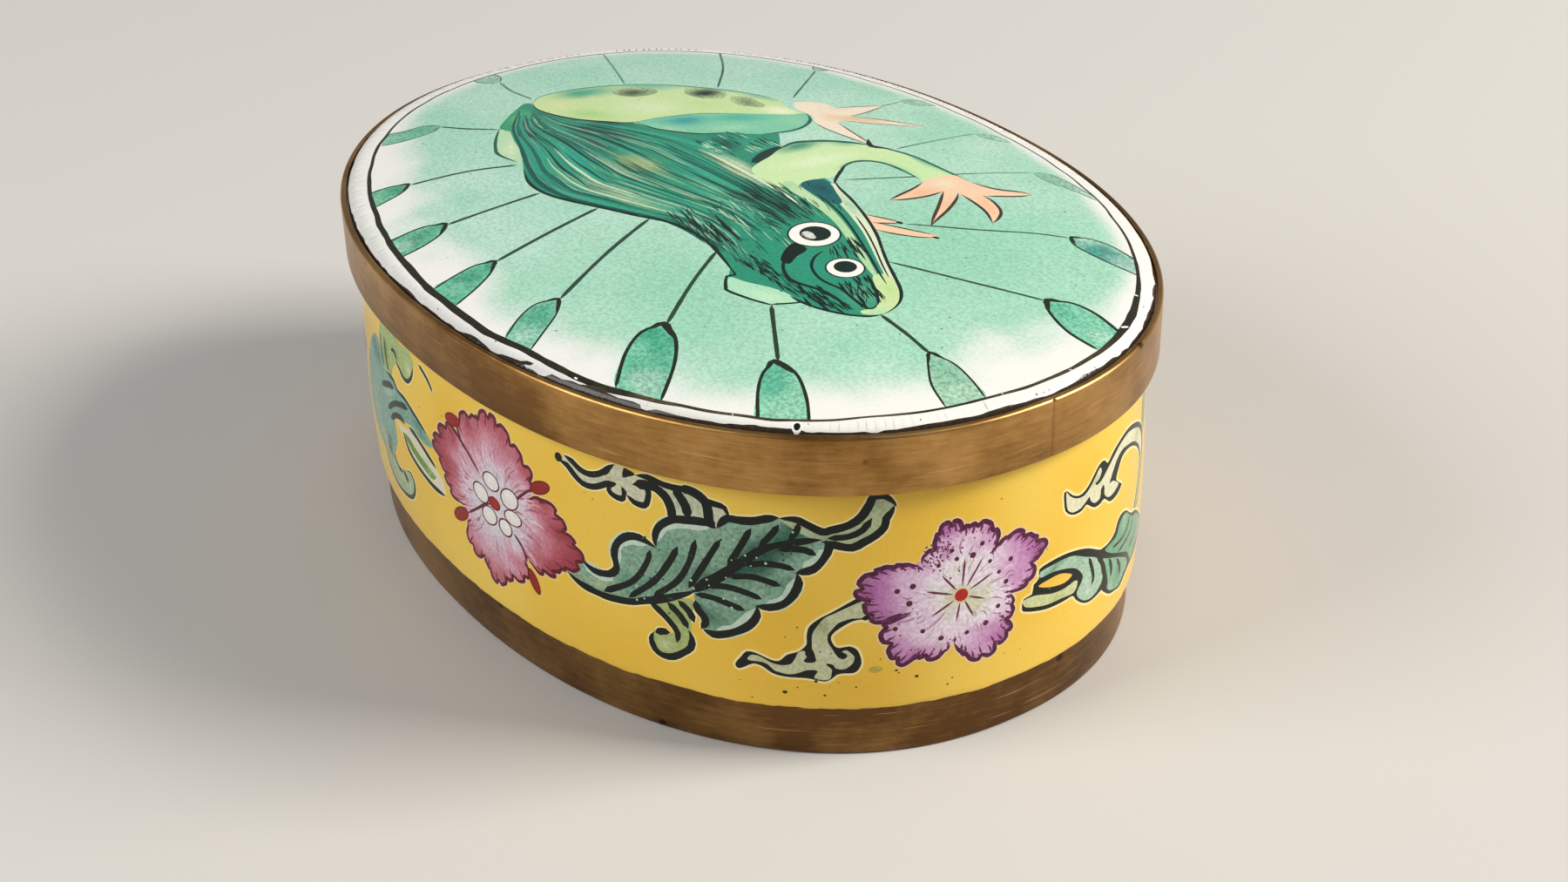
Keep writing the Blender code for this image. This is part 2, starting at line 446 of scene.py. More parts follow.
def worked_brass(name, light, dark, roughness):
    """Brass sheet, rubbed along its length and gone brown with handling."""
    material, tree, shader = new_material(name)
    place = add_node(tree, "ShaderNodeTexCoord").outputs["Object"]
    squash = add_node(tree, "ShaderNodeMapping", {
        "Vector": place, "Scale": (420.0, 420.0, 3600.0), "Rotation": (0.06, 0.04, 0.0)})
    streaks = add_node(tree, "ShaderNodeTexNoise", {
        "Vector": squash.outputs["Vector"], "Scale": 1.0, "Detail": 6.0, "Roughness": 0.7})
    clouds = add_node(tree, "ShaderNodeTexNoise", {
        "Vector": place, "Scale": 190.0, "Detail": 5.0, "Roughness": 0.6})
    patches = add_node(tree, "ShaderNodeTexNoise", {"Vector": place, "Scale": 55.0, "Detail": 3.0})
    broad = add_node(tree, "ShaderNodeMath", {
        0: patches.outputs["Fac"], 1: 1.3, 2: -0.65}, operation="MULTIPLY_ADD")
    stains = add_node(tree, "ShaderNodeMath", {
        0: broad.outputs["Value"], 1: clouds.outputs["Fac"]}, operation="ADD")
    share = add_node(tree, "ShaderNodeMath", {
        0: streaks.outputs["Fac"], 1: 0.55, 2: stains.outputs["Value"]}, operation="MULTIPLY_ADD")
    spread = add_node(tree, "ShaderNodeMapRange", {
        "Value": share.outputs["Value"], "From Min": 0.55, "From Max": 1.0})
    tone = add_node(tree, "ShaderNodeMix", {
        "Factor": spread.outputs["Result"], 6: (*linear(light), 1), 7: (*linear(dark), 1),
    }, data_type="RGBA")

    # Long fine scratches that lean a little, and pits eaten into the sheet
    lean = add_node(tree, "ShaderNodeMapping", {
        "Vector": place, "Scale": (170.0, 170.0, 7000.0), "Rotation": (0.1, 0.09, 0.0)})
    hairs = add_node(tree, "ShaderNodeTexNoise", {
        "Vector": lean.outputs["Vector"], "Scale": 1.0, "Detail": 2.0})
    scratches = add_node(tree, "ShaderNodeMapRange", {
        "Value": hairs.outputs["Fac"], "From Min": 0.67, "From Max": 0.76, "To Min": 0.0, "To Max": 0.4})
    bright = add_node(tree, "ShaderNodeMix", {
        "Factor": scratches.outputs["Result"], 6: tone.outputs[2], 7: (*linear("E8C48C"), 1),
    }, data_type="RGBA")
    pits = add_node(tree, "ShaderNodeTexVoronoi", {"Vector": place, "Scale": 260.0})
    holes = add_node(tree, "ShaderNodeMapRange", {
        "Value": pits.outputs["Distance"], "From Min": 0.05, "From Max": 0.09, "To Min": 0.8, "To Max": 0.0})
    pitted = add_node(tree, "ShaderNodeMix", {
        "Factor": holes.outputs["Result"], 6: bright.outputs[2], 7: (*linear("2E1C10"), 1),
    }, data_type="RGBA")
    bump = add_node(tree, "ShaderNodeBump", {
        "Height": streaks.outputs["Fac"], "Strength": 0.3, "Distance": 0.00003})
    feed(tree, shader, {
        "Base Color": pitted.outputs[2], "Normal": bump.outputs["Normal"],
        "Metallic": 1.0, "Roughness": roughness})
    return material


def plain_enamel(name, colour):
    """Counter enamel: the plain coat fused to the sides that don't show."""
    material, tree, shader = new_material(name)
    place = add_node(tree, "ShaderNodeTexCoord").outputs["Object"]
    clouds = add_node(tree, "ShaderNodeTexNoise", {"Vector": place, "Scale": 300.0, "Detail": 4.0})
    tone = add_node(tree, "ShaderNodeMix", {
        "Factor": clouds.outputs["Fac"], 6: (*(linear(colour) * 0.88), 1), 7: (*linear(colour), 1),
    }, data_type="RGBA")
    feed(tree, shader, {"Base Color": tone.outputs[2], "Roughness": 0.2, "IOR": 1.52})
    return material


# Meshes


def mesh_from(name, places, faces):
    """A smooth-shaded mesh in metres from places in millimetres."""
    data = bpy.data.meshes.new(name)
    data.from_pydata((np.asarray(places) * MM).tolist(), [], [list(map(int, f)) for f in faces])
    data.update()
    data.shade_smooth()
    return data


def lay_map(data, corners):
    """Lays the piece's own flat map, one place for each corner of each face."""
    layer = data.uv_layers.new(name="OFBake")
    layer.uv.foreach_set("vector", np.asarray(corners, np.float32).ravel())


def lay_paint(data, colours, plain):
    """Gives the first corners their own paints, and all the others the plain one."""
    filled = np.tile(plain, (len(data.loops), 1))
    filled[:len(colours)] = colours
    layer = data.attributes.new("paint", "FLOAT_COLOR", "CORNER")
    layer.data.foreach_set("color", filled.astype(np.float32).ravel())


def open_loops(triangles):
    """The loops of vertex numbers that run along a surface's open edges."""
    edges = {}
    for a, b, c in triangles:
        edges.update({(a, b): None, (b, c): None, (c, a): None})
    following = {a: b for a, b in edges if (b, a) not in edges}
    loops = []
    while following:
        loop, here = [], next(iter(following))
        while here in following:
            loop.append(here)
            here = following.pop(here)
        loops.append(loop)
    return loops


def add_piece(name, data, materials, replaced):
    """Links a mesh as a piece of the box and hides the CAD nodes it takes the place of."""
    for material in materials:
        data.materials.append(material)
    piece = bpy.data.objects.new(name, data)
    bpy.context.scene.collection.objects.link(piece)
    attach(piece, "root")
    for node in replaced:
        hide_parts(node)
    return piece


def ring_quads(rings_made, closed=False):
    """Quads between rings of vertex numbers of one length."""
    pairs = list(zip(rings_made, rings_made[1:]))
    if closed:
        pairs.append((rings_made[-1], rings_made[0]))
    faces = []
    for one, two in pairs:
        count = len(one)
        faces.extend(
            (one[i], one[(i + 1) % count], two[(i + 1) % count], two[i]) for i in range(count))
    return faces


def arc(inset, height, radius_in, radius_up, first, steps):
    """Inset and height pairs along a quarter round, from outwards towards up."""
    out = []
    for step in range(steps + 1):
        a = math.radians(first + 90 * step / steps)
        out.append((inset - radius_in * math.cos(a), height + radius_up * math.sin(a)))
    return out


def strip_mesh():
    """The lid's strip: a hoop with rubbed edges and an upright butt joint."""
    joint = 0.9
    steps = np.linspace(0, ROUND, STRIP_SIDES, endpoint=False) + joint + 0.3
    near = joint + np.array([-0.12, -0.05, -0.02, 0.02, 0.05, 0.12])
    distances = np.sort(np.concatenate([steps[:-1], near % ROUND]))
    angles = angle_at(distances)
    groove = np.interp(np.abs(distances - joint), [0.0, 0.03, 0.06], [0.14, 0.1, 0.0])
    sway = 0.05 * drift(np.column_stack([distances, distances * 0]), 9.0, 2)
    profile = arc(0.12, STRIP_FOOT + 0.12, 0.12, 0.12, -90, 3)
    profile += [(0.0, 19.4), (0.0, 20.5)]
    profile += arc(0.26, STRIP_TOP - 0.24, 0.26, 0.24, 0, 6)
    profile += arc(STRIP_THICKNESS - 0.1, STRIP_TOP - 0.1, 0.1, 0.1, 90, 3)
    profile += [(STRIP_THICKNESS, STRIP_FOOT)]
    places, made = [], []
    for inset, height in profile:
        outer = max(0.0, 1 - inset / 0.2)
        xy = oval(angles, inset + sway * outer + groove * (1.0 if inset < 0.3 else 0.0))
        made.append(list(range(len(places), len(places) + len(angles))))
        places.extend((x, y, height) for x, y in xy)
    return mesh_from("brass_strip", places, ring_quads(made, closed=True))


def cup_mesh():
    """The brass cup: recessed underside, bare foot, wall, rim and cavity."""
    angles = np.linspace(0, 2 * math.pi, CUP_SIDES, endpoint=False)
    fillet = CAVITY_INSET + FLOOR_FILLET
    profile = [(CAVITY_INSET + 0.2, FLOOR_UNDERSIDE), (CAVITY_INSET, FLOOR_UNDERSIDE - 0.15)]
    profile += [(CAVITY_INSET, 0.12), (CAVITY_INSET - 0.12, 0.0)]
    profile += arc(WALL_INSET + 0.22, 0.22, 0.22, 0.22, -90, 4)
    profile += [(WALL_INSET, 1.2), (WALL_INSET, 2.4), (WALL_INSET, COAT_FOOT + 0.4)]
    profile += [(WALL_INSET, COAT_TOP), (WALL_INSET, 19.5)]
    profile += arc(WALL_INSET + 0.3, WALL_TOP - 0.3, 0.3, 0.3, 0, 4)
    profile += arc(CAVITY_INSET - 0.3, WALL_TOP - 0.3, 0.3, 0.3, 90, 4)
    metal_end = len(profile) - 1
    profile += [(CAVITY_INSET, 16.0), (CAVITY_INSET, 10.0), (CAVITY_INSET, 5.0)]
    for step in range(7):
        a = math.radians(15 * step)
        profile.append((
            fillet - FLOOR_FILLET * math.cos(a),
            FLOOR_TOP + FLOOR_FILLET - FLOOR_FILLET * math.sin(a),
        ))
    places, made = [], []
    for inset, height in profile:
        made.append(list(range(len(places), len(places) + len(angles))))
        places.extend((x, y, height) for x, y in oval(angles, inset))
    faces = ring_quads(made)
    metal = [1 <= k // CUP_SIDES < metal_end for k in range(len(faces))]
    for height, up, ring in ((FLOOR_UNDERSIDE, False, made[0]), (FLOOR_TOP, True, made[-1])):
        edge = np.array([places[v][:2] for v in ring])
        for share in (0.66, 0.33):
            inner = list(range(len(places), len(places) + len(ring)))
            places.extend((x * share, y * share, height) for x, y in edge)
            quads = ring_quads([ring, inner])
            faces.extend(quads if up else [q[::-1] for q in quads])
            metal.extend([False] * len(quads))
            ring = inner
        pole = len(places)
        places.append((0.0, 0.0, height))
        for i in range(len(ring)):
            tri = (ring[i], ring[(i + 1) % len(ring)], pole)
            faces.append(tri if up else tri[::-1])
            metal.append(False)
    data = mesh_from("brass_cup", places, faces)
    for polygon, bare in zip(data.polygons, metal):
        polygon.material_index = 0 if bare else 1
    return data


# The camera looks down from the front right
bpy.context.scene.view_settings.view_transform = "Standard"
camera_data = bpy.data.cameras.new("camera")
camera_data.sensor_width = 36.0
camera_data.lens = 55.2
camera_data.clip_start = 0.01
camera_data.clip_end = 10.0
camera = bpy.data.objects.new("camera", camera_data)
bpy.context.scene.collection.objects.link(camera)
right = Vector((0.56030, 0.82815, -0.01529))
up = Vector((-0.40922, 0.29282, 0.86417))
back = Vector((0.72014, -0.47794, 0.50296))
turn = Matrix((right, up, back)).transposed().to_4x4()
camera.matrix_world = Matrix.Translation(Vector((118.524, -75.064, 86.549)) * MM) @ turn
bpy.context.scene.camera = camera

# Materials of the box
brass = worked_brass("rubbed_brass", "C6985A", "865E30", 0.34)
# The foot's brass is darker and browner than the strip's, all the way round
foot_brass = worked_brass("foot_brass", "A27C48", "66482A", 0.4)
counter = plain_enamel("counter_enamel", "E9E6DA")
lid_enamel = painted_enamel("lid_enamel", 0.14)
wall_enamel = painted_enamel("wall_enamel", 0.14)

add_piece("lid_strip_brass", strip_mesh(), [brass], ["lid_strip"])
add_piece("cup_brass", cup_mesh(), [foot_brass, counter], ["box_cup"])


# The lid's picture


def margin_ground(places):
    """White enamel at the rim that turns to a mottled sea green towards the middle; on the right the white
    reaches further in, partly as a painted highlight.
    """
    deep = inset_of(places)
    x, y = places[:, 0], places[:, 1]
    front = np.clip(-y / 20, 0, 1) ** 1.5
    # On the right side the white reaches further in: partly the enamel's own white, partly a painted
    # highlight
    right = np.clip((x - 13) / 14, 0, 1) * np.exp(-((y - 0.5) / 7) ** 2)
    reach = 1.3 + 4.6 * front + 6.5 * right
    patches = (drift(places, 4.5, 21) - 0.5) * 1.1 + (drift(places, 1.4, 22) - 0.5) * 0.35
    t = np.clip((deep - 1.8) / reach + patches * (0.35 + 0.65 * np.clip(front + right, 0, 1)), 0, 1)
    t = t * t * (3 - 2 * t)
    white, green, pale, strong = (linear(c) for c in ("EFECE4", "A2D7BA", "BCE0CA", "7CC7A2"))
    tone = drift(places, 3.0, 31)[:, None]
    inner = green * (1 - tone) + pale * tone
    pool = np.exp(-((x - 15) / 9) ** 2 - ((y - 6) / 8) ** 2)
    pool = pool + 0.8 * np.exp(-((x - 11) / 8) ** 2 - ((y + 10) / 4) ** 2)
    inner = inner + (strong - inner) * np.clip(pool * (0.4 + 0.6 * tone[:, 0]), 0, 1)[:, None] * 0.75
    out = white + (inner - white) * t[:, None]
    return np.column_stack([out, 0.05 + 0.4 * t])


boundary = oval(np.linspace(0, 2 * math.pi, RIM_SIDES, endpoint=False), PLATE_INSET)
lid = Picture(boundary, margin_ground)

# The lotus leaf: veins, and a cell at the rim end of each
VEIN = wash("2E4A38", [((0, 18), (24, 9), 0, "7FB096", 0.85), ((-24, 4), (12, 14), 0, "6FA389", 0.9),
    ((18, -6), (14, 12), 0, "2B3A25", 0.9)], grain=0.3)
VEINS = (((19.5, -2.6), (22, -2.55), (24.3, -2.65)), ((14.9, 1.4), (19, 4), (23.1, 6.8)),
    ((11.4, 5.2), (14, 8.6), (16, 11.8), (17.3, 13.4)), ((4.3, 5.8), (5.8, 9.8), (7, 14.2), (8.1, 18)),
    ((1.4, 11.9), (1.1, 15), (0.7, 19)), ((-6.2, 14), (-6.2, 16), (-6.7, 18.2)),
    ((-10.2, 11.6), (-12.8, 14.4), (-15.4, 17.1)), ((-14.8, 8.4), (-18.8, 11.4), (-23.2, 13.9)),
    ((-19.6, 3.7), (-23.4, 5.1), (-27.6, 6.6)), ((-21.2, -2.8), (-24, -2.9), (-26.6, -2.5)),
    ((-17.5, -7.4), (-19.4, -8.8), (-21.4, -9.9)), ((-11, -9.5), (-12.7, -12.3), (-14, -15.9)),
    ((-6.1, -10.5), (-6.4, -13.4), (-6.8, -16.9)), ((-1.6, -8.9), (-1, -12.4), (-0.2, -16.9)),
    ((1.8, -7.2), (3.8, -11.4), (6.5, -16.3)), ((8, -6.3), (10.2, -9.4), (13.1, -13)),
    ((15.2, -7.2), (17.6, -8.6), (20.2, -10.1)))
VEIN_WIDTHS = (
    0.26, 0.2, 0.17, 0.16, 0.2, 0.15, 0.16, 0.17, 0.17, 0.19, 0.21, 0.24, 0.27, 0.31, 0.3, 0.28, 0.27)
for vein, width in zip(VEINS, VEIN_WIDTHS):
    lid.stroke(vein, width, VEIN, taper=0.06)
# Each cell: its two sides from the apex to the rim, and how strongly it is drawn
CELLS = ((((24.3, -2.6), (25.7, -2.1), (27.5, -2.2), (29.3, -2.6)),
    ((24.3, -2.8), (25.3, -3.5), (26.8, -4.4), (28.9, -5)), 0.2, "A9D3B4", "86C2A0"),
    (((23.1, 6.9), (23.9, 8), (25.5, 8.5), (27.9, 8.4)), ((23, 6.7), (24.2, 6.1), (26.3, 5.7), (28.6, 6)),
    0.32, "86CFAE", "4FB08A"), (((17.3, 13.6), (17.8, 14.5), (19.2, 15.2), (21.9, 15.4)),
    ((17.3, 13.3), (18.4, 13), (20.6, 13.4), (23.2, 14.2)), 0.2, "A8D8BC", "2E9385"),
    (((8.1, 18.2), (8.8, 19), (10.3, 19.3), (12.6, 19.3)), ((8.2, 17.9), (9.6, 17.9), (11.7, 18.7),
    (13.2, 19)), 0.17, "A9CDB4", "8CBFA2"), (((0.7, 19.1), (1.2, 19.9), (2, 20.4)),
    ((0.8, 18.9), (2, 19.3), (3, 20.3)), 0.14, "A9CDB4", "8CBFA2"),
    (((-6.8, 18.2), (-7, 19), (-6.6, 20)), ((-6.6, 18.2), (-5.6, 19), (-5.2, 20.2)), 0.14, "A4CBB0",
    "8CBFA2"), (((-15.5, 17.1), (-16.2, 17.4), (-16.9, 18)), ((-15.3, 17.2), (-15.2, 17.9), (-15.4, 18.7)),
    0.14, "A4CBB0", "8CBFA2"), (((-23.3, 13.8), (-24.2, 13.4), (-25.2, 13.4)),
    ((-23.2, 14.1), (-23.3, 14.6), (-23.8, 14.9)), 0.15, "A4CBB0", "8CBFA2"),
    (((-27.6, 6.4), (-28.2, 5.8), (-29, 5.8)), ((-27.6, 6.8), (-28, 7.4), (-28.4, 7.8)), 0.15, "A4CBB0",
    "8CBFA2"), (((-26.7, -2.4), (-27.8, -1.8), (-28.9, -1.8)), ((-26.7, -2.7), (-27.6, -3.4),
    (-28.7, -3.6)), 0.16, "A4CBB0", "7FBA9C"), (((-21.6, -9.8), (-22.5, -10.6), (-22.8, -11.9),
    (-23.3, -13)), ((-21.3, -9.9), (-20.9, -11), (-21.1, -12.8), (-21.7, -14.2)), 0.17, "7FC3A0", "4FA183"),
    (((-14.2, -15.9), (-14.9, -16.9), (-15.1, -18.3)), ((-13.9, -15.9), (-13.3, -16.9), (-12.9, -19)), 0.2,
    "78C29C", "3E9A7C"), (((-7, -16.9), (-7.7, -17.8), (-7.9, -19), (-7.8, -20.6)),
    ((-6.6, -16.9), (-5.9, -17.9), (-5.5, -19.3), (-5.4, -21)), 0.22, "70BF99", "36947A"),
    (((-0.3, -17), (-0.8, -18), (-0.7, -19.5), (-0.3, -21.2)), ((0, -17), (0.9, -18), (1.7, -19.4),
    (2.4, -21.1)), 0.22, "6FC29C", "36987C"), (((6.4, -16.4), (5.9, -17.5), (6.4, -18.9), (7.7, -20.6)),
    ((6.7, -16.3), (7.8, -17.3), (8.9, -18.8), (9.9, -20.2)), 0.2, "8ECFAF", "4FAE8C"),
    (((13, -13.2), (12.8, -14.5), (14, -16.3), (16.4, -18.4)), ((13.3, -13), (14.9, -13.5), (16.9, -14.9),
    (19.2, -17.2)), 0.34, "7CCBA6", "2FA07F"), (((20.1, -10.3), (20.6, -11.4), (21.9, -12.6), (24, -14)),
    ((20.4, -9.9), (22, -10), (24, -10.8), (26, -12)), 0.3, "93D3B2", "57B593"))
for near, far, width, pale, deep in CELLS:
    body = list(near) + [far[-1]] + list(far[::-1])
    apex, mouth = np.array(near[0]), (np.array(near[-1]) + np.array(far[-1])) / 2
    heart = apex + (mouth - apex) * 0.35
    tilt = math.degrees(math.atan2(*(mouth - apex)[::-1]))
    size = float(np.hypot(*(mouth - apex)))
    green = wash(pale, [
        (tuple(heart), (size * 0.6, size * 0.3), tilt, deep, 0.85),
        (tuple(apex + (mouth - apex) * 0.85), (size * 0.3, size * 0.22), tilt, "C9E6D4", 0.5),
    ], grain=0.9, wander=0.9)
    lid.shape(curve_through(body), green)
    ink = VEIN if width < 0.2 else wash("232B1C", grain=0.5)
    lid.stroke(near, width * 0.68, ink, taper=0.08)
    lid.stroke(far, width * 0.68, ink, taper=0.08)
    if width >= 0.2:
        low, high = ((1 - k) * apex + k * np.array(side[1]) for k, side in ((0.8, near), (0.8, far)))
        lid.stroke((low, apex - (mouth - apex) * 0.02, high), width * 1.5, ink, taper=0.5)

# The frog, drawn over the leaf
DARK = wash("14271F", grain=0.3)
TEAL_INK = wash("1D5F4C", grain=0.3)
BODY = wash("2E8F70", [((-12, -2.6), (7.5, 3.6), -28, "1B5247", 0.95),
    ((-16.5, -5), (4.5, 2.2), -40, "1F6653", 0.7), ((-5.2, -3.4), (4.2, 1.3), 8, "A9B87C", 0.85),
    ((-9, -6.4), (6.5, 1.5), -16, "2FA38A", 0.8), ((-3, -7), (7, 1), 14, "B4CDA4", 0.75),
    ((1.5, -4.9), (5, 1.2), 16, "3FA382", 0.8), ((-1, 1.1), (5.5, 1), 0, "CDDCB2", 0.95),
    ((2, -2), (5.5, 1.5), 3, "68BA94", 0.7), ((-3.5, 4), (2.6, 1.8), 10, "3C9E7B", 0.8),
    ((-5, 2.8), (2.6, 0.9), 0, "1C5E50", 0.9), ((-6.5, -9.6), (6.5, 1.1), 6, "1F7D68", 0.9),
    ((5.2, -0.1), (4.2, 1.7), -4, "1C584D", 0.85), ((12, -3.2), (4.5, 2), -8, "2B9678", 0.8),
    ((6, -5.2), (5, 0.9), -4, "6DB795", 0.6), ((17.5, -2.2), (2.4, 1.6), -20, "66B48E", 0.6)], grain=0.35,
    wander=0.35)
FROG_EDGE = ((-20.7, -3.4), (-17.5, -3.2), (-15, -2.4), (-12.4, -0.3), (-9.8, 0.6), (-8, 1.9), (-6.8, 3.4),
    (-5.8, 5), (-5.1, 6.7), (-3.8, 6.2), (-2.2, 5.2), (0, 4.6), (3.3, 4.8), (5, 4.7), (7, 4.3), (9, 3.8),
    (10.5, 3.3), (12, 2.7), (13.5, 1.95), (15, 1.25), (16.5, 0.65), (18, 0), (18.9, -0.7), (19.4, -1.5),
    (19.6, -2.4), (19.3, -3.2), (18.8, -3.9), (18, -4.6), (17, -5.2), (15.9, -5.7), (15.6, -6.4),
    (15.1, -7.1), (13.9, -7.8), (12.4, -8.3), (11, -7.4), (10, -6.7), (8, -6.3), (6, -6.15), (4, -6.35),
    (2, -7.1), (0, -8.1), (-2, -9), (-4, -9.8), (-6, -10.4), (-7.6, -10.4), (-9.3, -9.9), (-11, -9.1),
    (-12.8, -8.2), (-14.5, -7.4), (-16, -6.9), (-17.5, -7.3), (-18.8, -6.2), (-19.9, -4.9))
lid.fill(FROG_EDGE, BODY)
# Pale sole tucked under the rump
lid.fill(((-17.4, -7.3), (-16.3, -7), (-14.6, -7.5), (-12.8, -8.4), (-11.2, -9.2), (-12.2, -9.5),
    (-13.6, -9.5), (-15, -8.9), (-16.3, -8.2)), wash("B9DCAE",
    [((-13.6, -8.6), (2.4, 0.6), -28, "E1E8C6", 0.8)]))
lid.stroke(((-17.6, -7.3), (-16.2, -8.3), (-14.8, -9.1), (-13.5, -9.55), (-11.4, -9.3)), 0.24, TEAL_INK)
lid.fill(((-20, -4.4), (-18.8, -4.2), (-17.2, -5.4), (-16.4, -6.8), (-17.5, -7.2), (-18.8, -6.1)),
    wash("3C9A6C", [((-18.4, -5.4), (1.6, 0.8), -50, "6DBD86", 0.8)]))
lid.fill(((-17.2, -5.9), (-15.6, -5.6), (-14.3, -6.4), (-15.4, -7.1), (-16.6, -7)),
    wash("173A34", grain=0.4))

# Strands of the back, each between the line of the spine and the line of the belly
SPINE = np.array(((-19, -3.7), (-15, -2.7), (-11, -0.5), (-7, 1.1), (-3, 1.7), (1, 1.8), (5, 1.8),
    (8.5, 1.5)))
BELLY = np.array(((-19.8, -4.6), (-16.5, -7), (-12.3, -8.4), (-9, -9.8), (-5.4, -10.2), (-1.5, -8.7),
    (3, -6.7), (8, -6.35)))


def strand(share, first, last, points=6):
    """Places along one line of the back, between two shares of its length."""
    line = SPINE * (1 - share) + BELLY * share
    at = np.linspace(first, last, points) * (len(line) - 1)
    return np.column_stack([np.interp(at, np.arange(len(line)), line[:, k]) for k in (0, 1)])


for number in range(230):
    share = rng.uniform(0.01, 0.985)
    first = rng.uniform(0, 0.8)
    last = min(0.99, first + rng.uniform(0.12, 0.42))
    bend = strand(share, first, last)
    bend[:, 1] += np.sin(np.linspace(0, 3.1, 6)) * rng.uniform(-0.12, 0.12)
    light = rng.random()
    if light < 0.46:
        paint = tinted(BODY, "0F3A32", rng.uniform(0.3, 0.85))
        width = rng.uniform(0.1, 0.3)
    elif light < 0.8:
        paint = tinted(BODY, "3CB091", rng.uniform(0.25, 0.7))
        width = rng.uniform(0.16, 0.42)
    else:
        paint = tinted(BODY, "CFDDB8", rng.uniform(0.2, 0.6))
        width = rng.uniform(0.08, 0.24)
    lid.stroke(bend, width, paint, taper=0.5)
for share, first, last, width, colour in (
        (0.985, 0.0, 0.98, 0.34, "15564A"), (0.9, 0.1, 0.75, 0.3, "1A6A58"),
        (0.8, 0.25, 0.62, 0.16, "10332D"), (0.74, 0.3, 0.7, 0.2, "D3DDBB"),
        (0.7, 0.35, 0.6, 0.14, "14403A"), (0.84, 0.35, 0.85, 0.22, "C2D6AE"),
        (0.62, 0.12, 0.55, 0.22, "12443B"), (0.35, 0.15, 0.5, 0.3, "164A40"),
        (0.22, 0.5, 0.95, 0.22, "1A5E50"), (0.3, 0.55, 0.98, 0.2, "174F45"),
        (0.5, 0.55, 0.98, 0.26, "1B6B59"), (0.06, 0.5, 0.95, 0.3, "D9E3C0")):
    lid.stroke(strand(share, first, last, 9), width, wash(colour, grain=0.35), taper=0.4)

# Thigh, shin and foot of the hind leg
THIGH = ((-6.8, 10.3), (-8.5, 10.1), (-10.3, 10.4), (-11.9, 9.9), (-14, 8.6), (-16, 7.1), (-18, 5.3),
    (-19.4, 3.5), (-20.6, 1.4), (-21.2, -0.6), (-21.3, -2.1), (-20.5, -3.2), (-19, -3.6), (-17, -3.3),
    (-15, -2.5), (-13.3, -1.3), (-12.2, -0.3), (-11.8, 1), (-11.4, 2.6), (-10.8, 4.2), (-9.9, 5.6),
    (-8.9, 7), (-7.9, 8.4), (-7, 9.4))
lid.fill(THIGH, wash("C8DF9E", [((-19.9, 0.6), (1.9, 4), -22, "35A184", 0.95),
    ((-18.2, 4.5), (3, 1.3), 46, "5CB0A0", 0.9), ((-15.2, 7.7), (3.2, 1), 38, "7DBFA6", 0.9),
    ((-11.8, 9.8), (2.8, 0.9), 22, "6FB59A", 0.9), ((-8.2, 9.3), (1.8, 1.3), 30, "F0F1CC", 0.9),
    ((-14.2, 2.2), (3.8, 2.6), 40, "D9E8B8", 0.9), ((-15.4, -1.4), (3.2, 1.3), 25, "A3CE7B", 0.8),
    ((-18.6, -2.1), (2.2, 1.2), 0, "D9DE9F", 0.8), ((-12.4, 5.6), (2.2, 1.2), 40, "B9DB90", 0.7)],
    grain=0.15))
for centre, size, turned, strength in (((-14.2, 7), (1.7, 1.2), 30, 1.0),
        ((-17.5, 3.3), (1.6, 1.1), 48, 0.9), ((-11, 8.4), (1.5, 0.8), 10, 0.55)):
    blot = curve_through([(
        centre[0] + size[0] * math.cos(a) * rng.uniform(0.75, 1.15) * math.cos(math.radians(turned))
        - size[1] * math.sin(a) * math.sin(math.radians(turned)),
        centre[1] + size[0] * math.cos(a) * math.sin(math.radians(turned))
        + size[1] * math.sin(a) * rng.uniform(0.75, 1.15) * math.cos(math.radians(turned)))
        for a in np.linspace(0, 2 * math.pi, 9, endpoint=False)], closed=True)
    lid.shape(blot, wash("B4CF96", [(centre, (size[0] * 1.25, size[1] * 1.25), turned, "17281E", strength)],
                         grain=0.9, wander=0.5))
lid.stroke(THIGH[2:12], 0.2, wash("3F8F78", grain=0.3), taper=0.2)
lid.stroke(THIGH[11:18], 0.2, DARK)
SHIN = ((-7, 10.5), (-5.9, 10.1), (-5.1, 9.3), (-4.6, 8.2), (-4.6, 7), (-5, 5.7), (-5.7, 4.7), (-6.5, 3.8),
    (-7.2, 2.5), (-8, 1.7), (-9.2, 0.9), (-10.2, 0.4), (-11.9, 0.1), (-11.8, 1.4), (-11.4, 2.6),
    (-10.8, 4.2), (-9.9, 5.6), (-8.9, 7), (-7.9, 8.4), (-7.2, 9.6))
lid.fill(SHIN, wash("80C8A4", [((-10.2, 2.8), (2.6, 1.5), 58, "2F9C9A", 0.98),
    ((-8.5, 6.1), (3, 1.1), 58, "45B196", 0.85), ((-7.3, 4.4), (2.8, 0.9), 62, "A0D8B0", 0.85),
    ((-6.2, 8.8), (1.6, 1.4), 40, "93D0A6", 0.8), ((-9.4, 1.2), (1.8, 0.5), 20, "BFDDB4", 0.7)],
    grain=0.25))
lid.stroke(SHIN[:6], 0.26, wash("1B6350", grain=0.3), taper=0.25)
lid.stroke(SHIN[6:13], 0.18, DARK)
lid.stroke(SHIN[12:18], 0.14, wash("3B8F7C", grain=0.3), taper=0.4)
FOOT = wash("F1DFC6", [((-4.4, 13), (2.6, 0.9), 50, "E0B584", 0.9),
    ((-5.6, 11.6), (1.8, 0.9), 0, "EBC7A0", 0.8), ((-7, 13.4), (1, 2.4), 0, "E6D3B6", 0.7)], grain=0.15)
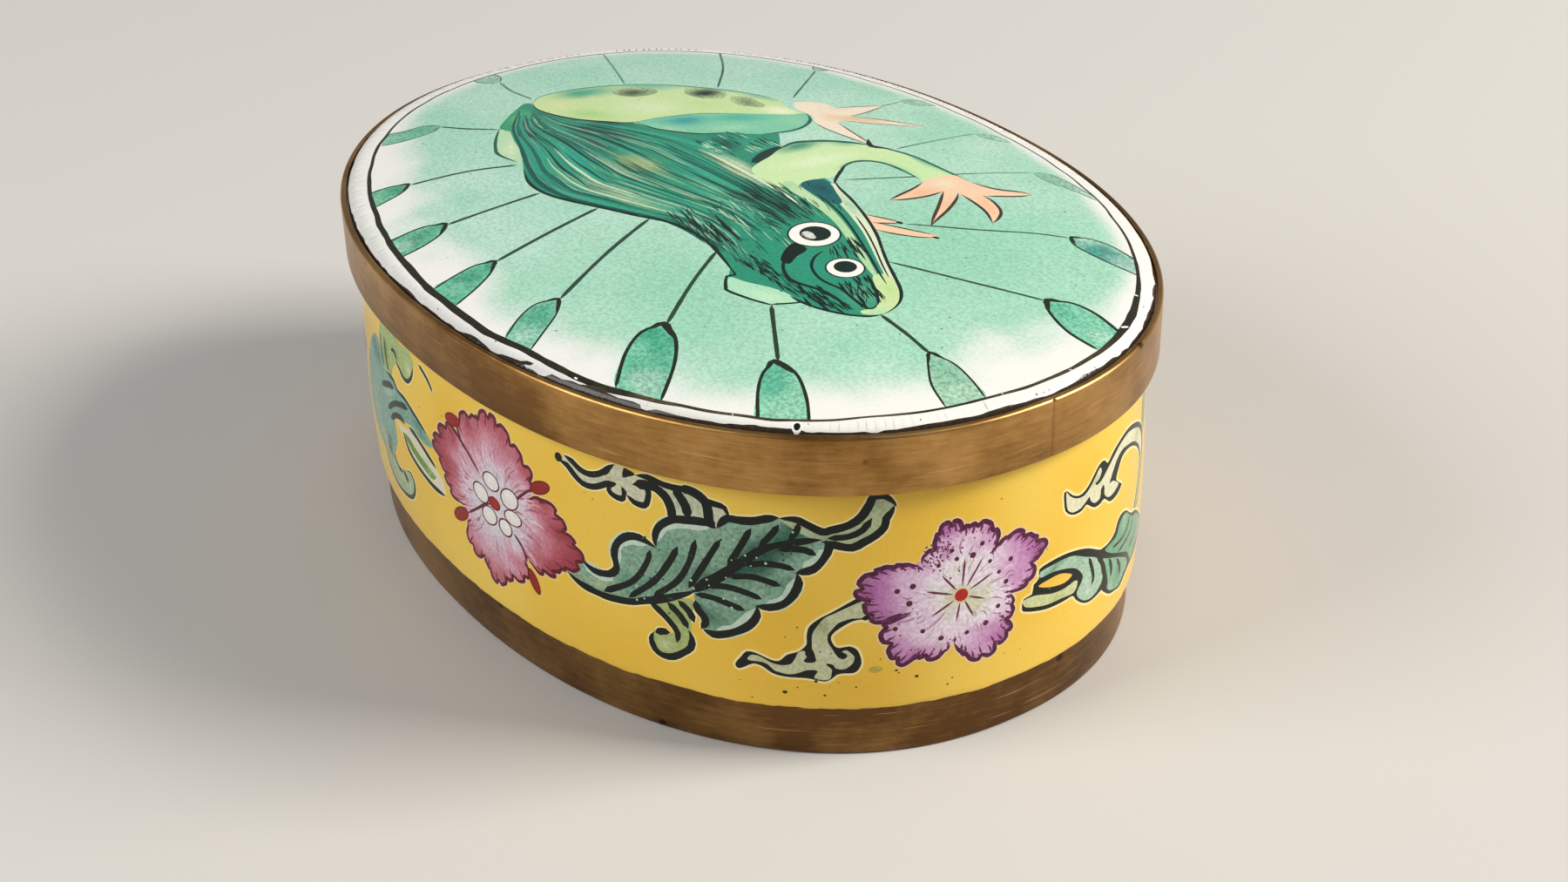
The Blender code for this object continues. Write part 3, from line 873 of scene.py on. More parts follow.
lid.fill(((-9, 12.1), (-9.2, 11.1), (-8, 10.4), (-6.5, 10.6), (-5.2, 10), (-3.8, 10), (-1.6, 10.4),
    (0.1, 10.8), (-1.6, 11.1), (-3.9, 11.2), (-4.6, 11.9), (-3.1, 13.6), (-1.3, 16.4), (-3.6, 14.5),
    (-5.2, 12.9), (-5.5, 14.5), (-6.2, 16.3), (-6.8, 14.2), (-7.2, 13.1), (-8.1, 12.9)), FOOT)
FOOT_INK = wash("6E6248", [((-2, 10.8), (3, 1), 0, "3C4A34", 0.9)], grain=0.3)
for line in (((-4.6, 11.9), (-3.1, 13.7), (-1.3, 16.5)), ((-5.2, 12.9), (-3.6, 14.6), (-1.5, 16.5)),
        ((-5.1, 13), (-5.5, 14.6), (-6.2, 16.4)), ((-7.1, 13), (-6.8, 14.3), (-6.3, 16.3)),
        ((-4.4, 11.3), (-2.4, 11.1), (0, 10.9)), ((-5.2, 9.9), (-3.6, 9.9), (-1.6, 10.3), (0, 10.8))):
    lid.stroke(line, 0.14, FOOT_INK)

# Foreleg, its fingers and the far forefoot
lid.fill(((-2.5, 5.6), (-1.3, 6), (-0.7, 4.6), (-0.6, 3.4), (-1.2, 2.3), (-2, 3.1), (-2.5, 4.3)),
    wash("173A31", grain=0.6))
FORELEG = ((0.2, 10.8), (-0.8, 9.9), (-1.7, 8.8), (-2.3, 7.6), (-2.6, 6.4), (-2.1, 5), (-1.4, 3.8),
    (-0.9, 2.6), (-0.2, 1.6), (1.4, 1.3), (3.2, 1.8), (3.4, 3.2), (3.3, 4.5), (3.5, 5.5), (3, 6.3),
    (2.4, 7), (2.1, 7.8), (2.2, 8.6), (2.7, 9.3), (3.5, 9.75), (5, 10), (6.4, 10.1), (7.4, 10.2),
    (8.6, 10.9), (8.8, 12), (8.2, 12.8), (7, 12.7), (5, 12.45), (3, 12.15), (1.4, 11.5))
lid.fill(FORELEG, wash("CBE5AA", [((-2, 6.6), (1.1, 3.4), 0, "2A8A6E", 0.95),
    ((-1, 9.3), (0.9, 1.9), -36, "3F9F82", 0.85), ((2.5, 7.7), (0.75, 1.9), 8, "3F9C7B", 0.85),
    ((0.7, 6), (1.3, 4), -6, "DFEDC2", 0.95), ((4.2, 12.3), (3.4, 0.5), 6, "57AA82", 0.9),
    ((4.6, 11.1), (3.2, 0.8), 4, "BFE6A2", 0.8), ((4.4, 10.1), (2.6, 0.45), 3, "7DC596", 0.8),
    ((7.6, 11.6), (1.5, 1.2), 0, "E4E3BC", 0.8)], grain=0.15))
lid.stroke(FORELEG[0:6], 0.36, wash("1A5E4C", grain=0.3), taper=0.25)
lid.stroke(FORELEG[13:22], 0.26, wash("1B6450", grain=0.3), taper=0.25)
lid.stroke(((4.4, 4.8), (3.7, 5.5), (3, 6.3), (2.4, 7.1)), 0.26, DARK)
lid.stroke(((0.2, 10.8), (1.4, 11.5), (3, 12.15), (5, 12.45), (7, 12.7), (8.2, 12.85)), 0.26,
    wash("1F6B55", grain=0.3), taper=0.2)
lid.stroke(((-0.9, 11.3), (-0.3, 10.9), (0.3, 10.7), (0.9, 11.2), (1.4, 11.6)), 0.42, DARK, taper=0.4)
SKIN = wash("F3CBA8", [((11.6, 11.5), (2.2, 0.8), -20, "EBB48A", 0.9),
    ((8.1, 8.8), (0.8, 2), 0, "EAB68E", 0.9), ((10.4, 9), (0.8, 2.4), 32, "EDBC96", 0.9),
    ((8.6, 12.6), (2, 0.8), 20, "EFC7B4", 0.7), ((7.6, 11.2), (1.2, 1.2), 0, "E9DDBA", 0.9),
    ((12.4, 4.8), (1.8, 0.8), 40, "E6C9A0", 0.8)], grain=0.1)
FINGER_INK = wash("463827", [((12, 11), (3, 2), 0, "2A2118", 0.8)], grain=0.3)
FINGERS = (((6.7, 12.6), (8.2, 12.9), (9.6, 13.7), (10.6, 15), (11.2, 15.4), (11.2, 14.6), (10.7, 13.4),
    (10.1, 12.2), (9.4, 11.4), (8.6, 10.6), (7.4, 10), (6.6, 10.2), (6.6, 11.4)),
    ((9.6, 12.3), (11, 12.25), (12.4, 11.8), (13.3, 10.95), (13.7, 10.2), (13.2, 10.45), (12.3, 10.8),
    (11, 11), (9.2, 11)), ((8.9, 11.1), (9.8, 10.4), (10.9, 8.9), (11.8, 7.4), (12.4, 6.4), (11.5, 7.3),
    (10.3, 8.6), (9.2, 9.8), (8.4, 10.5)), ((8.7, 10.5), (8.75, 9.2), (8.6, 7.6), (8.2, 6.4), (7.8, 7.5),
    (7.4, 8.8), (6.9, 9.9), (7.6, 10.5)))
for finger in FINGERS:
    lid.fill(finger, SKIN)
for line in (((8.2, 12.9), (9.6, 13.7), (10.6, 15), (11.2, 15.4)),
        ((11.25, 15.3), (11, 14.1), (10.3, 12.4)), ((10.1, 12.25), (11.2, 12.25), (12.5, 11.8), (13.3, 11),
        (13.75, 10.15)), ((13.7, 10.2), (12.3, 10.8), (11, 11), (9.4, 11.05)),
        ((9.2, 11), (10, 10.2), (11, 8.8), (11.9, 7.2), (12.4, 6.4)),
        ((12.3, 6.5), (11.4, 7.4), (10.3, 8.6), (8.6, 10.3)), ((8.6, 10.2), (8.75, 9), (8.6, 7.6),
        (8.2, 6.4)), ((8.15, 6.4), (7.8, 7.5), (7.4, 8.8), (6.9, 9.9))):
    lid.stroke(line, 0.22, FINGER_INK, taper=0.25)
lid.fill(((9, 3.7), (10.2, 4.5), (11.2, 5.1), (10.9, 4.4), (10.4, 3.8), (12, 4.8), (13.4, 5.9), (14, 5.8),
    (13.2, 4.8), (12, 3.7), (10.9, 3)), SKIN)
for line in (((9, 3.75), (10.1, 4.5), (11.2, 5.15)), ((11.2, 5.1), (10.8, 4.3), (10.3, 3.6)),
        ((10.2, 3.6), (12, 4.85), (13.5, 5.9)), ((13.9, 5.9), (13.2, 4.8), (12, 3.7), (10.9, 3.05))):
    lid.stroke(line, 0.15, FINGER_INK)
lid.spot((11.1, 5), 0.24, DARK, flat=0.7, turn=20)
lid.spot((13.8, 5.75), 0.24, DARK, flat=0.6, turn=40)

# Head: its long pale bands, the dark patch behind the eyes and the hatching
lid.fill(((4.3, 4.8), (7, 4.35), (9, 3.85), (10.5, 3.35), (12, 2.75), (13.5, 2), (15, 1.25), (16.8, 0.5),
    (17.2, -0.1), (15.3, 0.55), (13, 1.5), (11, 2.3), (9, 2.9), (7, 3.4), (5, 3.9)),
    wash("DCE4C2", [((7.5, 3.8), (2.8, 0.5), -14, "8FC3A0", 0.8)], grain=0.15))
lid.fill(((3.3, 3), (3.3, 4.4), (4.3, 4.6), (5.6, 4.15), (7, 3.6), (6.8, 3), (5, 2.8)),
    wash("1F6264", [((4.6, 3.7), (1.4, 0.6), 0, "123F44", 0.8)]))
lid.fill(((2.6, 2.7), (5, 2.7), (7.5, 2.5), (10, 1.9), (12.5, 1.1), (15, 0.2), (16.6, -0.5), (14.6, -0.1),
    (12, 0.7), (9, 1.6), (6, 1.9), (3, 1.9)), wash("B0D7A2", [((5.5, 2.3), (3, 0.6), 0, "CDE2B2", 0.8)]))
lid.fill(((16.2, 0.5), (18, -0.05), (18.8, -0.65), (19.35, -1.4), (19.55, -2.3), (19.4, -2.9), (19, -3.4),
    (18.6, -3.3), (18.75, -2.6), (18.4, -1.8), (17.3, -1.2), (15.8, -0.4)),
    wash("CBE0A2", [((17.6, -0.5), (1.6, 0.6), -28, "B5D786", 0.9),
    ((19.2, -2.8), (0.6, 1.2), 0, "A9D6AC", 0.8)]))
lid.fill(((15.8, -5.8), (15.5, -6.5), (15.05, -7.15), (13.9, -7.75), (12.5, -8.25), (12, -8.1),
    (11.1, -7.4), (12.2, -6.9), (13.6, -6.1), (14.8, -5.7)), wash("AEDDBA",
    [((14.2, -6.9), (1.8, 0.6), 25, "C6E8C4", 0.8)]))


def tick(x, y, run, rise, breadth, taper=0.3):
    """One short pen tick from a place, its run, rise and breadth drawn by chance."""
    end = (x + rng.uniform(*run), y + rng.uniform(*rise))
    lid.stroke(((x, y), end), rng.uniform(*breadth), DARK, taper=taper)


for number in range(150):
    y = rng.gauss(0.1, 1.35)
    reach = rng.uniform(0.9, 3.6) * math.exp(-abs(y) * 0.24)
    x = rng.uniform(6.4, 8.4) - rng.random() ** 1.6 * 4.0
    slope = 0.1 + 0.06 * y
    lid.stroke(((x, y * 0.9), (x - reach * 0.5, y * 0.95 + reach * 0.5 * slope - 0.1),
                (x - reach, y + reach * slope * 0.6 - 0.15)), rng.uniform(0.05, 0.11), DARK, taper=0.6)
for number in range(34):
    x, y = rng.uniform(10.9, 12.8), rng.uniform(-0.6, 1.4)
    tick(x, min(y, 1.7 - (x - 10.5) * 0.32), (0.7, 1.6), (-0.2, -0.55), (0.06, 0.14))
for number in range(60):
    along = rng.random()
    y = rng.uniform(-2.75, -0.95) + (0.25 - along * 0.75) * rng.random()
    tick(15.1 + along * 2.9, y, (0.5, 1.1), (-0.05, -0.35), (0.06, 0.15))
for number in range(90):
    along = rng.random()
    tick(9.4 + along * 6.4, -5.4 + along * 0.6 + rng.uniform(-0.55, 0.6), (0.5, 1.5), (-0.25, 0.1),
        (0.06, 0.13))
for number in range(36):
    tick(rng.uniform(14.6, 17.4), rng.uniform(-4.9, -3.7), (0.4, 1.2), (-0.2, 0.25), (0.08, 0.2))
for number in range(60):
    x, y = rng.uniform(2.5, 9.5), rng.uniform(-5.8, -1.4)
    reach = rng.uniform(0.8, 2.4)
    paint = tinted(BODY, "0F3028" if rng.random() < 0.65 else "C9DFC0", rng.uniform(0.35, 0.8))
    lid.stroke(((x, y), (x + reach, y - reach * 0.14)), rng.uniform(0.07, 0.17), paint, taper=0.6)
lid.stroke(((3.8, -3.8), (5.5, -4.15), (7.9, -4.45)), 0.3, DARK, taper=0.5)
lid.stroke(((4.4, -4.6), (6, -4.9), (8.3, -5.1)), 0.2, DARK, taper=0.5)
for number in range(70):
    x = rng.uniform(1.5, 8.0)
    tick(x, -5.9 + rng.uniform(0, 1.5) - 0.04 * x, (1.0, 2.6), (-0.1, -0.5), (0.05, 0.11), taper=0.6)
for number in range(60):
    x, y = rng.uniform(-7.0, -3.4), rng.uniform(1.2, 5.6)
    reach = rng.uniform(0.6, 1.4)
    if y < 6.0 - abs(x + 3.5) * 0.5:
        bend = ((x, y), (x + reach * 0.5, y + reach * 0.02), (x + reach, y + reach * 0.08))
        breadth = rng.uniform(0.08, 0.2)
        lid.stroke(bend, breadth, wash("14463E" if rng.random() < 0.6 else "A8D6B0", grain=0.3), taper=0.6)
# The head's outlines, its mouth and the fold under the eye
for line, width in ((((3.9, 5.2), (5, 4.75), (7, 4.35), *FROG_EDGE[15:24], (19.6, -2.3)), 0.22),
        (((5.2, 3), (8, 2.65), (10.5, 1.95), (13, 1.1), (15.2, 0.3), (17, -0.3)), 0.16),
        (((9, 3.2), (11, 2.55), (13, 1.75), (15, 0.85), (16.4, 0.3)), 0.12),
        (((19.6, -2.6), (19.4, -3.2), (18.8, -3.95), (18, -4.6), (17, -5.2), (15.9, -5.6), (15, -5.75)),
        0.2), (((16, -5.5), (15.6, -6.3), (15.1, -7.15)), 0.17),
        (((15.3, -7.1), (14, -7.75), (12.4, -8.3), (11.9, -8.2), (10.9, -7.45), (11.1, -7), (10.4, -6.8)),
        0.2), (((11, -6.95), (9, -6.5), (7, -6.15), (5, -6.15), (3, -6.6), (1, -7.6), (-1, -8.5),
        (-3, -9.4), (-5, -10.15), (-6.6, -10.4), (-8.2, -10.25), (-10, -9.6)), 0.26),
        (((15.4, -0.6), (16.6, -1), (17.8, -1.55), (18.6, -2.05)), 0.2),
        (((18.4, -2), (18.75, -2.4), (18.6, -2.85), (17.4, -2.9), (16, -2.85), (15.3, -3.05), (14.3, -3.2),
        (13, -2.85), (12.1, -2.05), (11.7, -1.1)), 0.2), (((10.2, -1.8), (10.9, -3.1), (11.7, -4),
        (12.6, -4.5), (13.6, -4.65), (14.6, -4.3), (15.6, -3.85), (16.8, -3.7), (18.2, -3.75)), 0.22)):
    lid.stroke(line, width, DARK, taper=0.12)
lid.fill(((9.9, -1.9), (11, -1.8), (11.4, -2.8), (11.9, -3.7), (11.3, -3.9), (10.6, -3.3), (10.1, -2.6)),
    wash("10201A", grain=0.6))
WHITE = wash("F3F0E6", grain=0.1)
lid.spot((9.65, -0.35), 1.66, DARK, sides=26)
lid.spot((9.65, -0.35), 1.54, WHITE, sides=26)
lid.spot((9.62, -0.25), 0.98, DARK, sides=20, flat=0.98)
lid.spot((9.58, -0.68), 0.56, wash("D9DAD0", grain=0.5), sides=14, flat=0.72)
lid.stroke(((9, -0.5), (9.5, -0.28), (10.15, -0.5)), 0.12, DARK)
lid.stroke(((9.15, -0.85), (9.6, -1.05), (10.1, -0.8)), 0.08, DARK)
lid.spot((14.12, -1.22), 1.22, DARK, sides=22)
lid.spot((14.12, -1.22), 1.12, WHITE, sides=22, flat=0.98)
lid.spot((14.02, -1.14), 0.7, DARK, sides=18)

# Specks of paint and pits in the leaf
for number in range(190):
    x, y = rng.uniform(-27, 29), rng.uniform(-19, 18)
    if (x / 28) ** 2 + (y / 19.5) ** 2 < 1 and (number < 95 or x > 6):
        radius = rng.uniform(0.03, 0.085)
        speck = wash("4C8468" if rng.random() < 0.75 else "3A3A30", grain=0.4)
        lid.spot((x, y), radius, speck, sides=6, flat=rng.uniform(0.6, 1))

# The black line inside the white margin: arc length, inset and width
EDGE_LINE = np.array(((-84, 2.1, 0.17), (-70, 2.05, 0.2), (-60, 2, 0.28), (-52, 1.85, 0.36),
    (-47, 1.62, 0.42), (-42, 1.42, 0.46), (-38, 1.35, 0.48), (-35.5, 1.3, 0.48), (-32.3, 1.42, 0.46),
    (-28.2, 1.14, 0.42), (-25.6, 1.06, 0.44), (-22.2, 1.15, 0.3), (-19.6, 1.12, 0.22), (-16, 1.15, 0.2),
    (-13.4, 1.15, 0.2), (-9.7, 1.45, 0.18), (-5.6, 1.48, 0.2), (-2.8, 1.5, 0.22), (0.5, 1.4, 0.25),
    (3.5, 1.32, 0.27), (6.5, 1.3, 0.32), (9, 1.38, 0.44), (11.5, 1.45, 0.5), (13.5, 1.52, 0.4),
    (17, 1.6, 0.24), (25, 1.7, 0.17), (35, 1.8, 0.15), (50, 1.9, 0.14), (70, 2, 0.15), (84, 2.1, 0.17)))
EDGE_INK = wash("2A281C", [((22, -12), (12, 9), 45, "62583E", 0.9),
    ((29, 2), (5, 9), 0, "544A34", 0.8), ((0, 20), (26, 4), 0, "5F6F58", 0.8),
    ((-27, 0), (6, 16), 0, "6A7562", 0.8)], grain=0.8, wander=0.7)
along = np.arange(-84, ROUND - 84 - 0.4, 0.5)
insets = np.interp(along, EDGE_LINE[:, 0], EDGE_LINE[:, 1])
widths = np.interp(along, EDGE_LINE[:, 0], EDGE_LINE[:, 2])
flat = np.column_stack([along, along * 0])
insets = insets + (drift(flat, 1.7, 12) - 0.5) * 0.12


def on_rim(points):
    """Places of the lid from arc length and inset pairs."""
    pairs = np.array(points, float)
    return rim(pairs[:, 0], pairs[:, 1])


# The white margin covers the cells' open ends, then the line is drawn on it
for k in range(len(along)):
    after = (k + 1) % len(along)
    lid.shape(on_rim(((along[k], 0.45), (along[after], 0.45), (along[after], insets[after]),
                      (along[k], insets[k]))), margin_ground)
lid.stroke(np.column_stack([rim(along, insets), widths]), 1.0, EDGE_INK, closed=True, step=0.6)

# A ragged dark brown band down the rim into the seam, and chips down to brown metal along the front
CHIP_AND_SEAM_BROWN = wash("3D3024", [((15, -19.5), (3, 2), 30, "4E463A", 0.8)], grain=0.9, wander=0.7)
seam = np.arange(-84, 84, 0.35)
flat = np.column_stack([seam, seam * 0])
depth = 0.52 + 0.07 * drift(flat, 0.6, 14) + 0.14 * drift(flat, 2.0, 15) ** 3
for k in range(len(seam) - 1):
    lid.shape(on_rim(((seam[k], 0.5), (seam[k + 1], 0.5), (seam[k + 1], depth[k + 1]), (seam[k], depth[k]))),
              CHIP_AND_SEAM_BROWN)
CHIPS = (((-33.9, 0.5), (-33.3, 0.62), (-32.4, 0.68), (-31.8, 0.7), (-31.3, 0.86), (-30.8, 0.88),
    (-30.9, 0.72), (-31.5, 0.62), (-32.2, 0.56), (-33, 0.5)), ((-29.6, 0.56), (-29.2, 0.74), (-28.4, 0.7),
    (-27.7, 0.78), (-27.1, 0.76), (-26.4, 0.9), (-25.6, 0.97), (-25.2, 0.8), (-24.4, 0.72), (-23.4, 0.74),
    (-22.9, 0.68), (-22.8, 0.56), (-24.2, 0.52), (-25.8, 0.5), (-27.3, 0.5), (-28.7, 0.5)),
    ((-22.5, 0.54), (-21.9, 0.66), (-20.6, 0.62), (-19.4, 0.6), (-19, 0.5), (-20.8, 0.5)),
    ((14.6, 0.5), (15, 0.7), (15.8, 0.72), (16.6, 0.62), (16.9, 0.5)),
    ((11.6, 0.5), (11.8, 0.64), (12.4, 0.6), (12.6, 0.5)))
for chip in CHIPS:
    lid.shape(on_rim(chip), CHIP_AND_SEAM_BROWN)
for place, size in (((-34.4, 1.02), 0.07), ((-13.2, 0.95), 0.05),
        ((-7, 0.9), 0.06), ((13, 1), 0.07), ((0.2, 0.72), 0.09),
        ((0.7, 0.68), 0.08), ((1.1, 0.7), 0.07), ((1.6, 0.66), 0.06),
        ((2.6, 0.66), 0.05), ((3.1, 0.7), 0.05), ((4.9, 0.72), 0.05),
        ((-40.3, 0.8), 0.06)):
    lid.spot(on_rim((place,))[0], size, CHIP_AND_SEAM_BROWN, sides=6, flat=0.7)
# White flaws across the line, and one burst bubble with its pale rim
for place, size, turned in (((9.9, 1.36), 0.26, 75), ((14.2, 1.6), 0.16, 20),
        ((3.4, 1.3), 0.09, 60), ((-27.6, 1), 0.14, 10), ((-17.5, 1.15), 0.07, 0),
        ((-1.6, 1.52), 0.07, 30)):
    lid.spot(on_rim((place,))[0], size, WHITE, sides=8, flat=0.45, turn=turned)
lid.spot(on_rim(((-13.8, 0.8),))[0], 0.3, wash("FBF9F2"), sides=14)
lid.spot(on_rim(((-13.8, 0.8),))[0], 0.19, wash("1B1712", grain=0.5), sides=12)


def lid_grid():
    """Places all over the lid: rings near the rim and a staggered grid inside."""
    places = []
    for inset in (0.502, 0.515, 0.54, 0.58, 0.64, 0.72, 0.83, 0.97, 1.15, 1.4):
        places.append(oval(np.linspace(0, 2 * math.pi, RIM_SIDES, endpoint=False), inset))
    rows = np.arange(-HALF_WIDTH, HALF_WIDTH, GRID * 0.87)
    inner = np.array([
        (x + (k % 2) * GRID / 2, y)
        for k, y in enumerate(rows) for x in np.arange(-HALF_LENGTH, HALF_LENGTH, GRID)])
    places.append(inner[(inset_of(inner) > 1.6)
                        & (np.abs(inner[:, 0] / 29) ** 2.2 + np.abs(inner[:, 1] / 20.8) ** 2.2 < 1.02)])
    return np.vstack(places)


def lid_height(places):
    """Height of the plate's upper face: a low dome that rolls down at the rim."""
    share = (
        np.abs(places[:, 0] / (HALF_LENGTH - DOME_INSET)) ** FULLNESS
        + np.abs(places[:, 1] / (HALF_WIDTH - DOME_INSET)) ** FULLNESS
    ) ** (1 / FULLNESS)
    height = DOME_EDGE + DOME_RISE * (1 - np.minimum(share, 1.05) ** 2)
    near = np.clip((PLATE_INSET + PLATE_ROLL - inset_of(places)) / PLATE_ROLL, 0, 1)
    return height - PLATE_ROLL_DROP * (1 - np.sqrt(1 - near ** 2))


def lid_mesh():
    """The plate: the painted dome, its rolled rim and its plain underside."""
    places, triangles, top, paints = lid.cut(lid_grid())
    colours = corner_paints(places, triangles, top, paints)
    heights = lid_height(places)
    solid_places = [(x, y, z) for (x, y), z in zip(places, heights)]
    faces = [list(t) for t in triangles]
    loop = open_loops(faces)[0]
    xy = places[loop]
    made = [loop]
    crown = DOME_EDGE + DOME_RISE - PLATE_THICKNESS
    below = [(1.0, PLATE_UNDERSIDE + 0.1), (0.997, PLATE_UNDERSIDE), (0.93, PLATE_UNDERSIDE)]
    below += [(share, crown - DOME_RISE * share * share) for share in (0.88, 0.7, 0.5, 0.3, 0.12)]
    for share, height in below:
        made.append(list(range(len(solid_places), len(solid_places) + len(loop))))
        solid_places.extend((x * share, y * share, height) for x, y in xy)
    under = [q[::-1] for q in ring_quads(made)]
    pole = len(solid_places)
    solid_places.append((0.0, 0.0, crown))
    last = made[-1]
    under += [(last[(i + 1) % len(last)], last[i], pole) for i in range(len(last))]
    data = mesh_from("lid_plate_enamel", solid_places, faces + under)
    lay_paint(data, colours, np.append(linear("E9E6DA"), 0.15))

    # The dome fills most of the map; rim, side and underside lie small beside it
    flat = np.zeros((len(solid_places), 2))
    flat[:len(places)] = (places + (HALF_LENGTH, HALF_WIDTH)) / (2.04 * HALF_LENGTH) + 0.01
    small = np.zeros((len(solid_places), 2))
    for number, ring in enumerate(made):
        small[ring] = xy * (1 - number / (len(made) + 0.5))
    small = small / (7.4 * HALF_LENGTH) + (0.16, 0.87)
    numbers = [v for face in faces for v in face]
    numbers_under = [v for face in under for v in face]
    lay_map(data, np.vstack([flat[numbers], small[numbers_under]]))

    # The dome's own slope, so that the drawing's cuts never show in its gloss
    nudge = 0.02
    slope_x = lid_height(places + (nudge, 0)) - lid_height(places - (nudge, 0))
    slope_y = lid_height(places + (0, nudge)) - lid_height(places - (0, nudge))
    normals = np.zeros((len(solid_places), 3))
    normals[:len(places)] = np.column_stack([-slope_x, -slope_y, np.full(len(places), 2 * nudge)])
    lengths = np.linalg.norm(normals, axis=1, keepdims=True)
    data.normals_split_custom_set_from_vertices((normals / np.maximum(lengths, 1e-12)).tolist())
    return data


add_piece("lid_plate_enamel", lid_mesh(), [lid_enamel], ["lid_plate"])


# The wall's picture, drawn on the wall rolled out flat


def coat_inset(distances, heights):
    """Inset of the coat's face: rolled lip at the foot, gentle belly, thin at the top."""
    foot = coat_foot(distances)
    rise = np.clip((heights - foot) / (COAT_TOP - foot), 0, 1)
    thick = COAT_LIP * (1 - rise) + COAT_THIN * rise + 4 * COAT_BULGE * rise * (1 - rise)
    near = np.clip(1 - (heights - foot) / COAT_ROLL, 0, 1)
    thick = thick * np.sqrt(np.clip(1 - near ** 2, 0, 1))
    return WALL_INSET - thick


def coat_foot(distances):
    """Height of the coat's ragged lower edge."""
    flat = np.column_stack([np.mod(distances, ROUND), np.zeros_like(distances)])
    blend = np.clip(np.mod(distances, ROUND) / 3, 0, 1)
    ragged = 0.12 * (drift(flat, 2.3, 4) - 0.5) + 0.1 * (drift(flat, 0.5, 8) - 0.5)
    return COAT_FOOT + ragged * blend * np.clip((ROUND - np.mod(distances, ROUND)) / 3, 0, 1)


def yellow_ground(places):
    """Egg-yolk yellow, a little uneven, darkened along its lower edge."""
    ends = np.minimum(places[:, 0] - START, START + ROUND - places[:, 0])
    fade = np.clip(ends / 4, 0, 1)
    tone = (0.5 + (drift(places, 5.0, 41) - 0.5) * fade)[:, None]
    out = linear("EABB3C") * (1 - tone) + linear("F0CB56") * tone
    # The coat is darkened towards brown in its lowest tenth of a millimetre or so, along its ragged lower
    # edge
    foot_edge_darkening = np.clip(1 - (places[:, 1] - coat_foot(places[:, 0])) / 0.14, 0, 1)[:, None]
    out = out + (linear("33281A") - out) * foot_edge_darkening * (0.35 + 0.65 * drift(places, 0.5, 43)[:, None])
    return np.column_stack([out, np.full(len(out), 0.06)])


START = 70.0 - ROUND
columns = np.linspace(START, START + ROUND, 481)
lower_edge = np.column_stack([columns, coat_foot(columns)])
upper_edge = np.column_stack([columns, np.full_like(columns, COAT_TOP)])
wall = Picture(np.vstack([lower_edge, upper_edge[::-1]]), yellow_ground)

# Inks and paints of the scroll
INK = wash("0A130D", grain=0.2)
PLUM = wash("6A2136", grain=0.45)
EDGE = wash("F4E2A0", grain=0.05)


def lines(motif, width, ink, *paths, taper=0.15, halo=EDGE):
    """Draws several pen lines of one width."""
    for path in paths:
        motif.stroke(path, width, ink, taper=taper, halo=halo)


def lobed(petal, centre, reach):
    """A petal's outline with its outer edge drawn in small lobes."""
    out = []
    for number, (x, y) in enumerate(petal):
        after = petal[(number + 1) % len(petal)]
        if math.dist((x, y), centre) < reach:
            out.append((x, y))
            continue
        steps = [((x, y), 1.02 if number % 2 else 0.955)]
        if math.dist(after, centre) > reach:
            steps.append((((x + after[0]) / 2, (y + after[1]) / 2), 1.02))
        for (along, high), swell in steps:
            out.append((centre[0] + (along - centre[0]) * swell, centre[1] + (high - centre[1]) * swell))
    return out


def petal_hairs(flower, centre, ground, count, nearest, run, limit, dark, dark_share, pale, breadth):
    """Fine hairs of darker and paler paint that run out from a flower's centre."""
    for number in range(count):
        turn = rng.uniform(0, 2 * math.pi)
        inner = rng.uniform(*nearest)
        outer = min(inner + rng.uniform(*run), limit)
        paint = tinted(ground, dark if rng.random() < dark_share else pale, rng.uniform(0.25, 0.7))
        flower.stroke(
            [(centre[0] + r * math.cos(turn + sway), centre[1] + r * math.sin(turn + sway) * 0.88)
             for r, sway in ((inner, 0), ((inner + outer) / 2, 0.05), (outer, 0))],
            rng.uniform(*breadth), paint, taper=0.6)


def outer_edge(outline, centre, reach):
    """The part of a petal's outline that lies away from the flower's centre."""
    far = [math.dist(p, centre) > reach for p in outline]
    start = next(k for k in range(len(outline)) if far[k] and not far[k - 1])
    turned = outline[start:] + outline[:start]
    return [p for p in turned if math.dist(p, centre) > reach]


